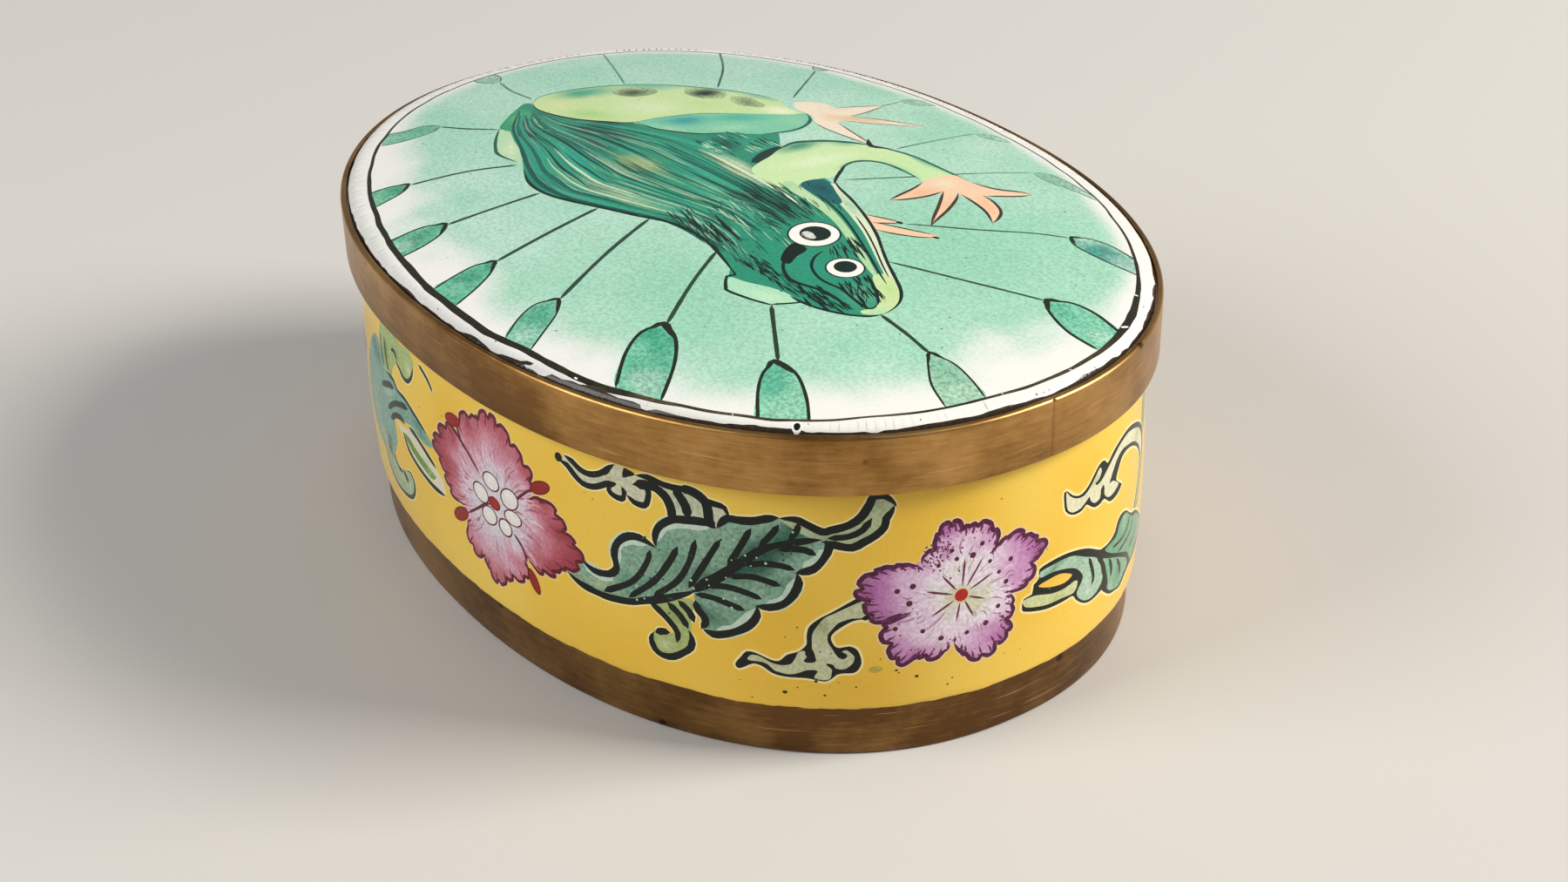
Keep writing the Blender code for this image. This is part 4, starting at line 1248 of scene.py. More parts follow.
# Rose with four lobed petals, red buds between them and six small white petals inside
rose = Picture()
HEART = (-35.3, 11.2)
ROSE = rings(HEART, [(0, "DEDADC"), (1.8, "DAD2D8"), (3.1, "DCB4C2"), (4.2, "D08A98"), (5.2, "BC5F6A"),
                     (6.1, "A8454F"), (7.2, "943841")], grain=0.5, wander=0.9)
ROSE_PETALS = (((-37.5, 9.4), (-38.3, 8.8), (-38.7, 8), (-38.7, 7.3), (-38.3, 6.7), (-37.8, 6.4),
    (-37, 6.5), (-36.7, 6.3), (-36.5, 5.8), (-36.1, 5.4), (-35.6, 5.3), (-35.1, 5.6), (-34.6, 6),
    (-34.3, 6.3), (-33.9, 6.5), (-33.2, 6.7), (-32.7, 7), (-32.4, 7.5), (-32.4, 8.2), (-32.7, 8.9),
    (-33.3, 9.4), (-34, 9.9), (-34.8, 10.8), (-35.6, 11.2), (-36.4, 10.5)),
    ((-33, 9.6), (-32.4, 8.9), (-32, 8.4), (-31.4, 8.1), (-30.8, 8.3), (-30.2, 8.4), (-29.9, 8.6),
    (-29.5, 9.2), (-28.8, 9.3), (-28.3, 9.6), (-27.8, 10.1), (-27.7, 10.7), (-28, 11.3), (-28.5, 11.7),
    (-28.9, 11.9), (-29, 12.3), (-29.4, 12.9), (-30, 13.3), (-30.7, 13.4), (-31.5, 13.2), (-32.2, 12.7),
    (-33.2, 12.2), (-34.6, 11.4), (-34.2, 10.4)), ((-39.2, 14.3), (-40, 14.5), (-40.8, 14.2), (-41.4, 13.7),
    (-41.5, 13.2), (-42, 12.9), (-42.4, 12.5), (-42.3, 12), (-41.8, 11.6), (-41.3, 11.1), (-41, 10.7),
    (-40.9, 10.3), (-40.5, 9.9), (-40.2, 9.5), (-39.4, 9.4), (-38.5, 9.6), (-37.5, 10), (-36.3, 10.6),
    (-35.3, 11.2), (-36.5, 12.7), (-37.4, 13), (-38.3, 13.6)), ((-39, 15.4), (-38.5, 15.9), (-37.8, 16.2),
    (-37, 16.2), (-36.8, 16.5), (-36.3, 16.9), (-35.7, 17.05), (-35.2, 17), (-34.8, 16.9), (-34, 16.6),
    (-33.4, 16.1), (-32.9, 15.8), (-32.2, 15.2), (-31.7, 14.8), (-31.6, 14.3), (-31.7, 13.7), (-32.2, 13.1),
    (-32.9, 12.6), (-33.6, 12), (-34.6, 11.3), (-35.5, 11.5), (-36.4, 12.6), (-37.4, 13), (-38.2, 13.6),
    (-38.9, 14.2), (-39.1, 14.8)))
rose.spot(HEART, 3.2, ROSE, sides=24, flat=0.86)
for gap in (((-39.4, 14.5), (-37.4, 13.6), (-36, 12.7), (-36, 12), (-37.6, 12.4), (-39.1, 13.5)),
        ((-39, 9.6), (-38.2, 8.8), (-36.5, 9.8), (-36, 10.7), (-37.5, 10.4)),
        ((-32.9, 9.8), (-32.4, 8.8), (-33.6, 9.4), (-34.8, 10.6), (-33.8, 10.7)),
        ((-31.6, 13.5), (-32.3, 12.6), (-33.6, 11.9), (-33, 12.8), (-31.8, 14))):
    rose.fill(gap, ROSE)
for petal in ROSE_PETALS:
    petal = lobed(petal, HEART, 3.1)
    rose.fill(petal, ROSE)
    outer = outer_edge(petal, HEART, 3.1)
    rose.stroke(outer, 0.26, wash("641826", grain=0.7), taper=0.1, halo=wash("E9C890", grain=0.1))
    for x, y in outer[1::4]:
        inward = ((x + (HEART[0] - x) * 0.16), (y + (HEART[1] - y) * 0.16))
        rose.stroke(((x, y), inward), 0.2, wash("7C2233", grain=0.5), taper=0.8)
petal_hairs(rose, HEART, ROSE, 120, (1.9, 3.6), (0.5, 1.7), 4.9, "8E2438", 0.55, "F1DDE2", (0.08, 0.22))
BUD = wash("98241C", grain=0.5)
for centre, radius, flat, turn in (((-39.7, 15), 1.0, 0.5, 12),
        ((-30.9, 14.1), 1.0, 0.5, 25), ((-39.3, 8.6), 1.15, 0.46, 32),
        ((-31.9, 7.2), 0.95, 0.5, -65)):
    rose.spot(centre, radius * 0.95, wash("6A1A1C", grain=0.4), sides=18, flat=flat * 0.95, turn=turn)
    rose.spot(centre, radius * 0.82, BUD, sides=18, flat=flat * 0.85, turn=turn)
lines(rose, 0.2, PLUM, ((-38.4, 9.1), (-37.2, 10), (-36.3, 10.7), (-35.7, 11)),
    ((-31.7, 13.7), (-32.6, 12.9), (-33.4, 12.1)), ((-38.9, 14.2), (-37.5, 13.2), (-36.7, 12.6)),
    ((-32.3, 8.4), (-32.8, 9.3), (-33.5, 9.9)), halo=None)
for centre, radius, flat, turn in (((-35.9, 10.1), 0.85, 0.8, 15),
        ((-34.3, 9.95), 0.7, 0.9, 0), ((-33.5, 10.95), 0.88, 0.62, 5),
        ((-36.7, 11.35), 0.88, 0.76, -10), ((-33.75, 12.15), 0.92, 0.8, 20),
        ((-35.55, 12.6), 0.88, 0.72, 0)):
    rose.spot(centre, radius, PLUM, sides=16, flat=flat, turn=turn)
    white = wash("E9E2DC", [((centre[0], centre[1] + 0.2), (0.7, 0.5), 0, "F6F1EA", 0.8)])
    rose.spot(centre, radius - 0.13, white, sides=16, flat=flat, turn=turn)
rose.spot(HEART, 0.62, wash("6E1C1C"), sides=12, flat=0.74)
rose.spot(HEART, 0.5, wash("A62A22", grain=0.3), sides=12, flat=0.74)

# Purple flower with five scalloped petals, stamens and dots
aster = Picture()
MIDDLE = (-4.5, 10.65)
LILAC = rings(MIDDLE, [(0, "D5D6A6"), (0.8, "DAD5C0"), (1.6, "EBE2EA"), (2.8, "E6CDE0"), (3.8, "D4A4CA"),
                       (4.8, "BC7AB0"), (6.0, "A25A90")], grain=0.5, wander=0.9)
ASTER_PETALS = (((-7, 13.3), (-6.6, 13.7), (-6.2, 14.1), (-6, 14.6), (-5.9, 15.1), (-5.5, 15.4),
    (-5.1, 15.5), (-4.7, 15.4), (-4.4, 15.1), (-4, 14.9), (-3.4, 15.1), (-2.9, 14.9), (-2.4, 14.5),
    (-2.2, 14), (-2.2, 13.5), (-2.5, 13), (-3.2, 12.2), (-4.2, 10.8), (-5.2, 11.2), (-6.2, 12.1)),
    ((-2.5, 13), (-2, 13.4), (-1.4, 13.7), (-0.8, 13.7), (-0.2, 13.4), (0.2, 13), (0.8, 12.7), (1.2, 12.2),
    (1.1, 11.8), (0.7, 11.6), (0.4, 11.3), (0.3, 10.5), (0, 10.1), (-0.4, 9.9), (-1, 9.8), (-1.6, 10),
    (-3, 10.2), (-4.4, 10.6), (-3.4, 11.9)), ((-1.6, 10.1), (-1.2, 9.5), (-1, 8.9), (-1.2, 8.4), (-1.4, 8),
    (-1.2, 7.5), (-1.3, 7.1), (-1.7, 6.7), (-2.1, 6.5), (-2.4, 6.1), (-3, 5.9), (-3.6, 6), (-4.1, 6.3),
    (-4.4, 6.8), (-4.9, 7.3), (-5, 8), (-4.9, 8.7), (-4.7, 10.4), (-3.4, 10.3)),
    ((-5, 8), (-5.1, 7.4), (-5.5, 6.9), (-6.1, 6.7), (-6.7, 6.8), (-7.1, 7.1), (-7.3, 6.85), (-7.9, 6.6),
    (-8.4, 6.9), (-8.6, 7.4), (-8.8, 8), (-9.1, 8.6), (-9.1, 9.2), (-8.8, 9.7), (-8.3, 10), (-7.7, 10),
    (-6.2, 10.4), (-4.6, 10.6), (-4.7, 9.4)), ((-8.8, 9.6), (-9.5, 9.7), (-9.9, 10.1), (-10, 10.6),
    (-10.1, 11.1), (-10.5, 11.5), (-10.5, 12), (-10.2, 12.5), (-9.7, 13), (-9.1, 13.1), (-8.6, 13.3),
    (-7.9, 13.2), (-7.3, 13.2), (-6.9, 12.9), (-6.3, 12.1), (-5.2, 11.2), (-4.6, 10.5), (-6.2, 10.1),
    (-7.7, 9.9)))
aster.spot(MIDDLE, 2.6, LILAC, sides=22, flat=0.9)
for gap in (((-7.5, 13), (-6.7, 13.3), (-5.8, 12.2), (-5.2, 11), (-6.4, 10.8), (-7.6, 11.8)),
        ((-8.2, 10.4), (-7, 9.8), (-5.4, 10.2), (-5.4, 11), (-7.2, 11)),
        ((-5.6, 7.6), (-4.6, 7.6), (-4.2, 9.6), (-4.8, 10.2), (-5.4, 9))):
    aster.fill(gap, LILAC)
for petal in ASTER_PETALS:
    aster.fill(lobed(petal, MIDDLE, 2.9), LILAC)
petal_hairs(aster, MIDDLE, LILAC, 110, (1.3, 3), (0.4, 1.4), 4.3, "8A3C78", 0.4, "F6EAF3", (0.07, 0.18))
for petal in ASTER_PETALS:
    outer = outer_edge(lobed(petal, MIDDLE, 2.9), MIDDLE, 2.9)
    aster.stroke(outer, 0.3, wash("521A3A", grain=0.7), taper=0.1, halo=wash("EBCBA0", grain=0.1))
    for x, y in outer[1::2]:
        inward = ((x + (MIDDLE[0] - x) * 0.15), (y + (MIDDLE[1] - y) * 0.15))
        aster.stroke(((x, y), inward), 0.22, wash("6E2A56", grain=0.5), taper=0.8)
    for number in range(26):
        x, y = outer[rng.randrange(len(outer))]
        pull = rng.uniform(0.02, 0.2)
        x += (MIDDLE[0] - x) * pull + rng.gauss(0, 0.12)
        y += (MIDDLE[1] - y) * pull + rng.gauss(0, 0.12)
        aster.spot((x, y), rng.uniform(0.04, 0.08), wash("6E2A56"), sides=5)
lines(aster, 0.14, wash("6E3440", grain=0.4), *[(((x - MIDDLE[0]) * 0.25 + MIDDLE[0],
    (y - MIDDLE[1]) * 0.25 + MIDDLE[1]), (x, y)) for x, y in ((-5.7, 12.2), (-4.3, 13), (-3.2, 12.7),
    (-2.5, 11.6), (-3, 10), (-3.7, 9), (-4.8, 8.9), (-6.3, 9.6), (-6.6, 11.3))], halo=None)
for place in ((-4.8, 13.1), (-3.8, 13.1), (-2.7, 12.4), (-2.1, 11.5), (-1.6, 10.7), (-2.1, 9.2),
        (-2.9, 8.3), (-4.1, 8), (-5.7, 8), (-6.8, 8.7), (-7.6, 10.7), (-7.4, 11.8), (-5.9, 12.9),
        (-5.1, 13.7), (-3.2, 13.7), (-8.4, 9.1), (-1.3, 12.1), (-8.3, 11.6)):
    aster.spot(place, rng.uniform(0.13, 0.2), wash("571E38", grain=0.3), sides=8)
for number in range(90):
    x, y = rng.gauss(-5.9, 0.7), rng.gauss(13.5, 0.55)
    if math.dist((x, y), (-5.2, 13.4)) < 1.7:
        aster.spot((x, y), rng.uniform(0.04, 0.08), wash("742E58"), sides=6)
aster.spot(MIDDLE, 0.52, wash("D9C69A"), sides=12)
aster.spot(MIDDLE, 0.42, wash("B2241C", grain=0.3), sides=12)

# The spray from the rose to the purple flower
spray = Picture()
LEAF = wash("87AC92", [((-17.2, 12.7), (6.5, 1.6), 40, "1F5440", 0.95),
    ((-19.5, 9.6), (1.2, 1.8), 60, "2E6A50", 0.8), ((-23.2, 10.4), (3.4, 1.3), 28, "5E8C72", 0.8),
    ((-26.8, 9.4), (2.4, 0.9), 0, "A8B98E", 0.8), ((-21.8, 12.6), (1.8, 1), 60, "6F9A80", 0.7),
    ((-15, 15.2), (2.2, 0.7), 8, "2E6A50", 0.8), ((-14.6, 12.2), (1.6, 0.8), 20, "5B8B70", 0.7),
    ((-16.9, 9.9), (1.4, 0.8), 20, "6B977C", 0.7)], grain=0.8, wander=0.7)
LEAF_EDGE = ((-28.7, 9.6), (-27.6, 10.4), (-26.8, 10.1), (-26, 10.15), (-25.4, 10.4), (-25.05, 10.9),
    (-25.2, 11.6), (-25.1, 12.3), (-24.7, 12.9), (-24.1, 13.3), (-23.4, 13.4), (-22.7, 13.2), (-22.3, 13.1),
    (-22.4, 13.5), (-22.3, 14.1), (-22, 14.6), (-21.5, 15), (-21.1, 15.2), (-20.5, 15.3), (-19.8, 15.4),
    (-19, 15.4), (-18.5, 15.2), (-18.3, 15.5), (-17.9, 15.9), (-17.3, 15.9), (-16.5, 15.95), (-15.5, 16.25),
    (-14.9, 16.3), (-13.9, 16.2), (-12.6, 15.5), (-12.3, 15), (-12.1, 14.6), (-12.4, 13.9), (-13, 13.2),
    (-13.9, 12.9), (-13.8, 12.3), (-14.1, 11.5), (-14.7, 10.8), (-15.5, 10.5), (-16.2, 10.5), (-16.2, 9.9),
    (-16.6, 9.2), (-17.4, 8.6), (-18.3, 8.2), (-18.9, 8.1), (-19.4, 8.3), (-19.6, 9), (-19.9, 9.9),
    (-20, 10.7), (-20.4, 10.5), (-21, 10.2), (-21.8, 9.8), (-22.5, 9.5), (-23.3, 9.2), (-24, 8.9),
    (-25, 8.7), (-26, 8.6), (-27, 8.65), (-28, 8.8), (-28.9, 9.2))
spray.fill(LEAF_EDGE, LEAF)
spray.fill(((-14.9, 16.3), (-13.5, 16.1), (-12.4, 15.7), (-11, 16.05), (-10.2, 16.7), (-9.7, 17.5),
    (-9.1, 17.7), (-8.5, 17.3), (-8.4, 16.9), (-8.9, 16.3), (-9.1, 15.7), (-10.2, 14.9), (-11, 14.65),
    (-12.5, 15), (-13.6, 15.4)), wash("B4C095", [((-11.5, 15.3), (2.6, 0.5), 10, "7E9F74", 0.8)],
    grain=0.5))
spray.fill(((-22.9, 9.4), (-22.3, 8.9), (-21.6, 8.3), (-21.3, 7.7), (-21.7, 7.4), (-22.4, 7.5),
    (-22.8, 7.1), (-22.7, 6), (-22.2, 5.7), (-21.5, 5.8), (-20.8, 6.3), (-20.3, 6.8), (-20.2, 7.5),
    (-20.2, 8.2), (-20.2, 9), (-20.1, 10.2)), wash("A9B772",
    [((-21.2, 8.9), (1.2, 0.7), -50, "7C9A62", 0.8), ((-22, 6.5), (0.7, 0.6), 0, "C9CF9C", 0.9)],
    grain=0.4))
TENDRIL = wash("CFCDAE", [((-20.5, 16.4), (1.8, 0.9), 0, "9DB89A", 0.7),
    ((-25.5, 16.6), (1.4, 0.5), 20, "BFC19A", 0.7)], grain=0.5)
TENDRIL_EDGE = ((-29.2, 16.62), (-28.87, 16.94), (-28.22, 16.72), (-27.54, 16.46), (-26.92, 16.38),
    (-26.16, 16.6), (-25.6, 16.98), (-25.38, 17.42), (-24.97, 17.62), (-24.49, 17.56), (-24.45, 17.2),
    (-24.28, 17.06), (-23.68, 17.26), (-22.84, 17.4), (-21.79, 17.2), (-20.9, 17.18), (-20.19, 17.22),
    (-19.52, 17), (-19.16, 16.74), (-18.56, 16.66), (-18.03, 16.52), (-17.75, 15.88), (-18.3, 15.36),
    (-18.67, 15.06), (-19.43, 15.3), (-20.22, 15.3), (-21.24, 15.06), (-21.29, 15.7), (-21.58, 16.36),
    (-22.05, 16.74), (-22.7, 16.88), (-22.86, 16.64), (-22.77, 16.3), (-22.93, 15.68), (-23.26, 15.54),
    (-23.76, 15.6), (-24.28, 15.86), (-24.61, 15.56), (-25.14, 15.6), (-25.48, 15.82), (-25.46, 16.24),
    (-26.02, 15.98), (-26.68, 15.68), (-27.44, 15.66), (-28.09, 16.02), (-28.62, 16.42))
spray.fill(TENDRIL_EDGE, TENDRIL)
HOOK_SHAPE = ((-9.6, 11.4), (-10.4, 11.4), (-12, 10.4), (-12.5, 10.1), (-13, 9.7), (-13.3, 9.3),
    (-13.4, 8.7), (-13.4, 8.2), (-13.7, 7.8), (-14, 7.6), (-14.5, 7.4), (-14.7, 7.2), (-15, 6.9),
    (-15.4, 6.9), (-15.9, 7.1), (-16.4, 7.3), (-16.9, 7.3), (-17.2, 6.9), (-17.6, 6.3), (-17.4, 6),
    (-17, 6.2), (-16.5, 6.5), (-16, 6.4), (-15.6, 6.1), (-15.2, 5.9), (-14.6, 5.8), (-14, 5.8),
    (-13.4, 5.8), (-12.9, 5.7), (-12.4, 5.6), (-12, 5.8), (-11.7, 6.1), (-11.3, 6.2), (-10.8, 6.2),
    (-10.5, 6.4), (-10.3, 6.9), (-10.4, 7.5), (-10.6, 7.9), (-11, 8.1), (-11.5, 8), (-11.8, 8.1),
    (-12, 8.5), (-12, 8.8), (-11.8, 9.1), (-11.3, 9.5), (-10.8, 9.8), (-10.3, 9.9), (-9.9, 9.9))
spray.stroke(HOOK_SHAPE, 0.3, EDGE, taper=0.02, closed=True)
spray.fill(HOOK_SHAPE, INK)
spray.fill(((-9.6, 11.1), (-10.3, 11.1), (-11.9, 10.3), (-12.4, 10), (-12.7, 9.6), (-13, 9.1), (-13.1, 8.7),
    (-13.1, 8.2), (-13.1, 7.9), (-13, 7.7), (-12.9, 7.3), (-12.9, 7), (-13.3, 6.9), (-13.6, 7),
    (-13.4, 7.3), (-13.5, 7.5), (-13.5, 7.7), (-13.7, 7.7), (-13.9, 7.6), (-14, 7.3), (-14.2, 6.9),
    (-14.4, 6.7), (-14.9, 6.6), (-15.4, 6.7), (-15.8, 6.9), (-16.2, 7.1), (-16.6, 7.1), (-16.8, 6.9),
    (-16.8, 6.7), (-16.2, 6.7), (-15.7, 6.6), (-15.3, 6.2), (-15, 6.1), (-14.5, 6), (-14, 6.1),
    (-13.6, 6.3), (-13.3, 6.4), (-12.9, 6.4), (-12.8, 6.3), (-12.9, 6.1), (-13, 5.9), (-12.9, 5.8),
    (-12.5, 5.7), (-12.1, 5.8), (-12, 6.2), (-12, 6.5), (-12.3, 6.8), (-12.2, 6.9), (-11.9, 6.8),
    (-11.8, 6.6), (-11.6, 6.5), (-11.3, 6.5), (-11.1, 6.6), (-10.8, 6.9), (-10.7, 7.3), (-10.8, 7.5),
    (-11.1, 7.8), (-11.3, 7.8), (-11.4, 7.7), (-11.2, 7.6), (-11.1, 7.4), (-11.3, 7.2), (-11.6, 7.3),
    (-11.8, 7.6), (-12, 8), (-12.2, 8.4), (-12.2, 8.9), (-12, 9.2), (-11.7, 9.6), (-11.4, 9.8), (-10.8, 10),
    (-10.3, 10), (-9.8, 10.5)), wash("C9CBA2", [((-12.6, 9.4), (0.8, 1.2), 20, "93A26A", 0.8),
    ((-12.2, 7.6), (1.4, 0.8), 0, "D9D8B8", 0.8), ((-15.6, 6.9), (1.6, 0.4), 0, "AEB57E", 0.6)], grain=0.5))
RIM_LIGHT = wash("C2D6C2", grain=0.3)
for path in (((-25, 10.9), (-25.1, 12.3), (-24.1, 13.2), (-22.8, 13.1)),
        ((-22.2, 13.5), (-21.9, 14.6), (-20.5, 15.2), (-18.8, 15.2)),
        ((-18.8, 8.2), (-17.4, 8.7), (-16.4, 9.9), (-16.2, 10.4)),
        ((-15.8, 10.6), (-14.7, 10.9), (-14, 12), (-13.9, 12.7)),
        ((-13.6, 13.1), (-12.7, 13.7), (-12.2, 14.6)), ((-27.6, 10.3), (-26, 10), (-25.3, 10.4))):
    spray.stroke(path, 0.85, RIM_LIGHT, taper=0.2)
lines(spray, 0.5, INK, ((-27.7, 10.5), *LEAF_EDGE[2:12], (-22.3, 13.05)), (*LEAF_EDGE[12:21],
    (-18.5, 15.15)), (*LEAF_EDGE[21:26], (-15.6, 16.2), (-14.9, 16.35)), (*LEAF_EDGE[59:48:-1],
    (-19.9, 10.8)), ((-19.5, 8.3), *LEAF_EDGE[44:38:-1]), ((-16.3, 10.5), *LEAF_EDGE[38:33:-1]),
    ((-14, 12.9), *LEAF_EDGE[33:30:-1], (-12.3, 15.1)), ((-14.9, 16.3), (-14, 16.3), (-13.5, 16.1),
    (-12.5, 15.6), (-12, 15.7), (-11, 16), (-10.3, 16.5), (-9.8, 17.3), (-9.6, 17.7), (-9, 17.7),
    (-8.5, 17.3), (-8.3, 17)), ((-12.5, 15), (-11.5, 14.7), (-10.8, 14.6), (-10.2, 14.9), (-9.5, 15.3),
    (-9, 15.8), (-8.9, 16.3), (-8.6, 16.7), (-8.4, 17.1)))
spray.stroke(((-20.1, 10.7, 1.3), (-19.3, 11.4, 1.25), (-18.5, 12, 1.1), (-17.8, 12.6, 1), (-17, 13.3, 0.9),
    (-16.2, 14, 0.85), (-15.3, 14.5, 0.75), (-14.3, 14.8, 0.7), (-13.3, 15, 0.7), (-12.5, 15.1, 0.6)), 0.6,
    INK, taper=0.1)
lines(spray, 0.46, INK, ((-19.9, 10.2), (-19.75, 9.6), (-19.4, 9.2), (-19.3, 8.8), (-19.6, 8.3)))
lines(spray, 0.4, INK, ((-26.1, 8.9), (-24, 10.3), (-23, 11.8), (-22.7, 12.8)),
    ((-24.3, 9.1), (-22.5, 10.8), (-21.5, 12.3), (-20.9, 13.5)),
    ((-22.6, 9.7), (-21, 11.2), (-20.2, 12.7), (-19.8, 14.2)), ((-20.3, 10.9), (-19.3, 12.7), (-18.7, 13.8),
    (-18.3, 14.5)), ((-17.9, 12.8), (-17, 14.5), (-16.5, 15.5)),
    ((-16.1, 14.3), (-15.3, 15.3), (-14.9, 15.9)), ((-14.4, 14.9), (-13.9, 15.6), (-13.8, 16.1)),
    ((-19.9, 10.6), (-18.8, 10.6), (-17.6, 10.3), (-16.9, 10.1)),
    ((-19.3, 11.3), (-18, 11.5), (-16.8, 11.3), (-15.9, 11)), ((-17.9, 12.2), (-16.5, 12.4), (-15.5, 12.2),
    (-14.8, 12)), ((-16.9, 13.1), (-15.8, 13.35), (-14.7, 13.3), (-14, 13.1)),
    ((-15, 14.3), (-14.2, 14.45), (-13.4, 14.4), (-12.8, 14.1)),
    ((-12.2, 15.2), (-11, 15.3), (-10.2, 15.7), (-9.7, 16.4)), taper=0.04, halo=None)
for number in range(70):
    x = rng.uniform(-24, -13.5)
    y = 9.6 + (x + 24) * 0.42 + rng.gauss(0.6, 1.2)
    if 8.8 < y < 15.6:
        radius = rng.uniform(0.04, 0.09)
        spray.spot((x, y), radius, wash("1E4030" if rng.random() < 0.7 else "B9D0BC"), sides=6)
lines(spray, 0.46, INK, ((-22.9, 9.3), (-22.3, 8.9), (-21.6, 8.3), (-21.1, 7.6), (-21.2, 6.9)),
    ((-22.7, 7.2), (-22.9, 6.7), (-22.7, 6), (-22.2, 5.7), (-21.5, 5.8), (-20.8, 6.3), (-20.3, 6.8),
    (-20.2, 7.5), (-20.4, 8)), ((-21.6, 7.5), (-22.1, 7.45), (-22.6, 7.2)),
    ((-21.7, 9.6), (-20.9, 8.9), (-20.4, 8.1)), ((-21, 9.9), (-20.3, 9.3), (-20, 8.6)))
lines(spray, 0.4, INK, ((-28.87, 16.98), (-28.22, 16.8), (-27.67, 16.5), (-27, 16.4), (-26.33, 16.6),
    (-25.87, 16.9), (-25.48, 17.26), (-25.12, 17.58)), ((-29.3, 16.54), *TENDRIL_EDGE[:40:-1],
    (-25.46, 16.32), (-25.02, 16.38)), TENDRIL_EDGE[40:35:-1], ((-24.25, 15.92), (-23.76, 15.6),
    (-23.26, 15.54), (-22.93, 15.68), (-22.77, 16.3), (-22.86, 16.68), (-23.19, 16.8), (-23.71, 16.72)),
    ((-23.66, 17.32), *TENDRIL_EDGE[13:22]))
lines(spray, 0.56, INK, ((-23.78, 16.74), (-22.7, 16.92), (-22.05, 16.74), (-21.58, 16.36), (-21.29, 15.7),
    (-21.29, 15.04)), ((-21.22, 17.18), (-20.78, 16.72), (-20.4, 16.16), (-20.22, 15.38)),
    ((-20.83, 17.2), (-20.19, 17.22), (-19.61, 17.02), (-19.18, 16.66), (-19.03, 16.12), (-18.96, 15.56),
    (-18.65, 15.1)), taper=0.05)
for blot in (((-26.33, 16.66), (-25.87, 16.84), (-25.38, 17.46), (-25.41, 17.04), (-25.7, 16.74),
        (-26.16, 16.56)), ((-24.47, 17.52), (-24.16, 17.54), (-23.66, 17.36), (-24.11, 17.1),
        (-24.54, 16.94)), ((-24.59, 16.34), (-24.25, 16.12), (-24.28, 15.86), (-24.54, 15.74),
        (-24.59, 16.02)), ((-23.87, 16.68), (-23.52, 16.9), (-22.77, 16.94), (-22.86, 16.64),
        (-23.45, 16.64)), ((-25.29, 16.46), (-24.93, 16.4), (-25.31, 16.04), (-25.46, 16.24))):
    spray.fill(blot, INK)
spray.spot((-29.3, 16.7), 0.3, INK, sides=12)

# The spray beyond the purple flower, with its arched tendril
branch = Picture()
ARCH = ((3, 14.9), (3.4, 14.5), (4, 14.2), (4.6, 14.3), (5.2, 14.7), (5.8, 15.2), (6.3, 15.4), (6.7, 15.3),
    (7, 15), (7.7, 15.4), (8.7, 15.7), (9.9, 15.8), (11.3, 15.5), (12.7, 14.8), (13.5, 13.9), (13.7, 12.7),
    (13.4, 11.4), (12.9, 10.2), (12.4, 9.2), (11.5, 9.4), (11.9, 10.4), (12.3, 11.4), (12.5, 12.6),
    (11.9, 13.5), (10.8, 14.2), (9.7, 14.5), (8.9, 14.4), (8.5, 14), (8.1, 13.5), (8.2, 13.2), (8.7, 12.8),
    (8.9, 12.6), (8.4, 12.3), (7.8, 12.2), (7.2, 12.3), (6.6, 12.8), (6.2, 12.7), (5.6, 12.7), (5.1, 13),
    (4.7, 13.3), (4.3, 13.1), (3.7, 13.1), (3.2, 13.3), (2.8, 13.7), (2.7, 14.3), (2.7, 14.9))
FOLDS = ((0.8, 10.6), (1.7, 10.8), (2.8, 10.8), (3.9, 10.6), (5, 10.2), (6.2, 9.5), (6.6, 9.4), (7.4, 9.4),
    (8.1, 9.7), (8.4, 10.2), (8.9, 10.5), (9.8, 10.3), (10.9, 9.5), (12.3, 8.9), (14.6, 7), (14.6, 6.1),
    (13.6, 5.6), (12.1, 5.5), (11.1, 5.4), (10.4, 5.2), (9.7, 4.9), (8.8, 5.1), (7.9, 5.4), (7, 6.1),
    (6.8, 6.3), (6.2, 6.2), (5.4, 6.2), (4.7, 6.5), (4, 7.1), (3.7, 7.5), (2.8, 7.5), (1.4, 7.6), (0, 8),
    (-0.4, 8.3), (-0.3, 9), (0.3, 9.1), (0.4, 9.7), (0.8, 10))
for outline in (ARCH, FOLDS):
    branch.stroke(outline, 0.3, EDGE, taper=0.02, closed=True)
    branch.fill(outline, INK)
branch.fill(((2.9, 14.9), (2.9, 14.2), (3, 13.7), (3.3, 13.4), (3.6, 13.3), (4.2, 13.3), (4.8, 13.6),
    (5, 13.7), (5.1, 13.4), (5.4, 13.1), (5.7, 13), (6.1, 13.1), (6.2, 13.6), (6.5, 13.8), (6.6, 13.5),
    (6.6, 13.1), (7, 12.7), (7.5, 12.6), (8, 12.7), (8.4, 12.9), (8.1, 13.2), (7.6, 13.5), (7.2, 13.5),
    (7.3, 13.7), (7.8, 14.3), (8.3, 14.7), (9, 14.9), (10.1, 14.7), (11.2, 14.3), (12.4, 13.4),
    (12.9, 12.4), (13.3, 12.4), (13.2, 13.6), (12.5, 14.5), (11.4, 15.1), (10, 15.5), (8.7, 15.4),
    (7.7, 15), (6.8, 14.5), (6.3, 14.2), (5.8, 14.1), (5.6, 14.3), (6, 14.4), (6.3, 14.8), (6.1, 15.1),
    (5.7, 14.8), (5.1, 14.3), (4.5, 14), (3.8, 14.1), (3.2, 14.5)),
    wash("DEDAB8", [((5.7, 14.5), (1.4, 0.6), 0, "B9C088", 0.8),
    ((11.8, 14.5), (0.8, 1), 0, "A8B964", 0.8)], grain=0.3))
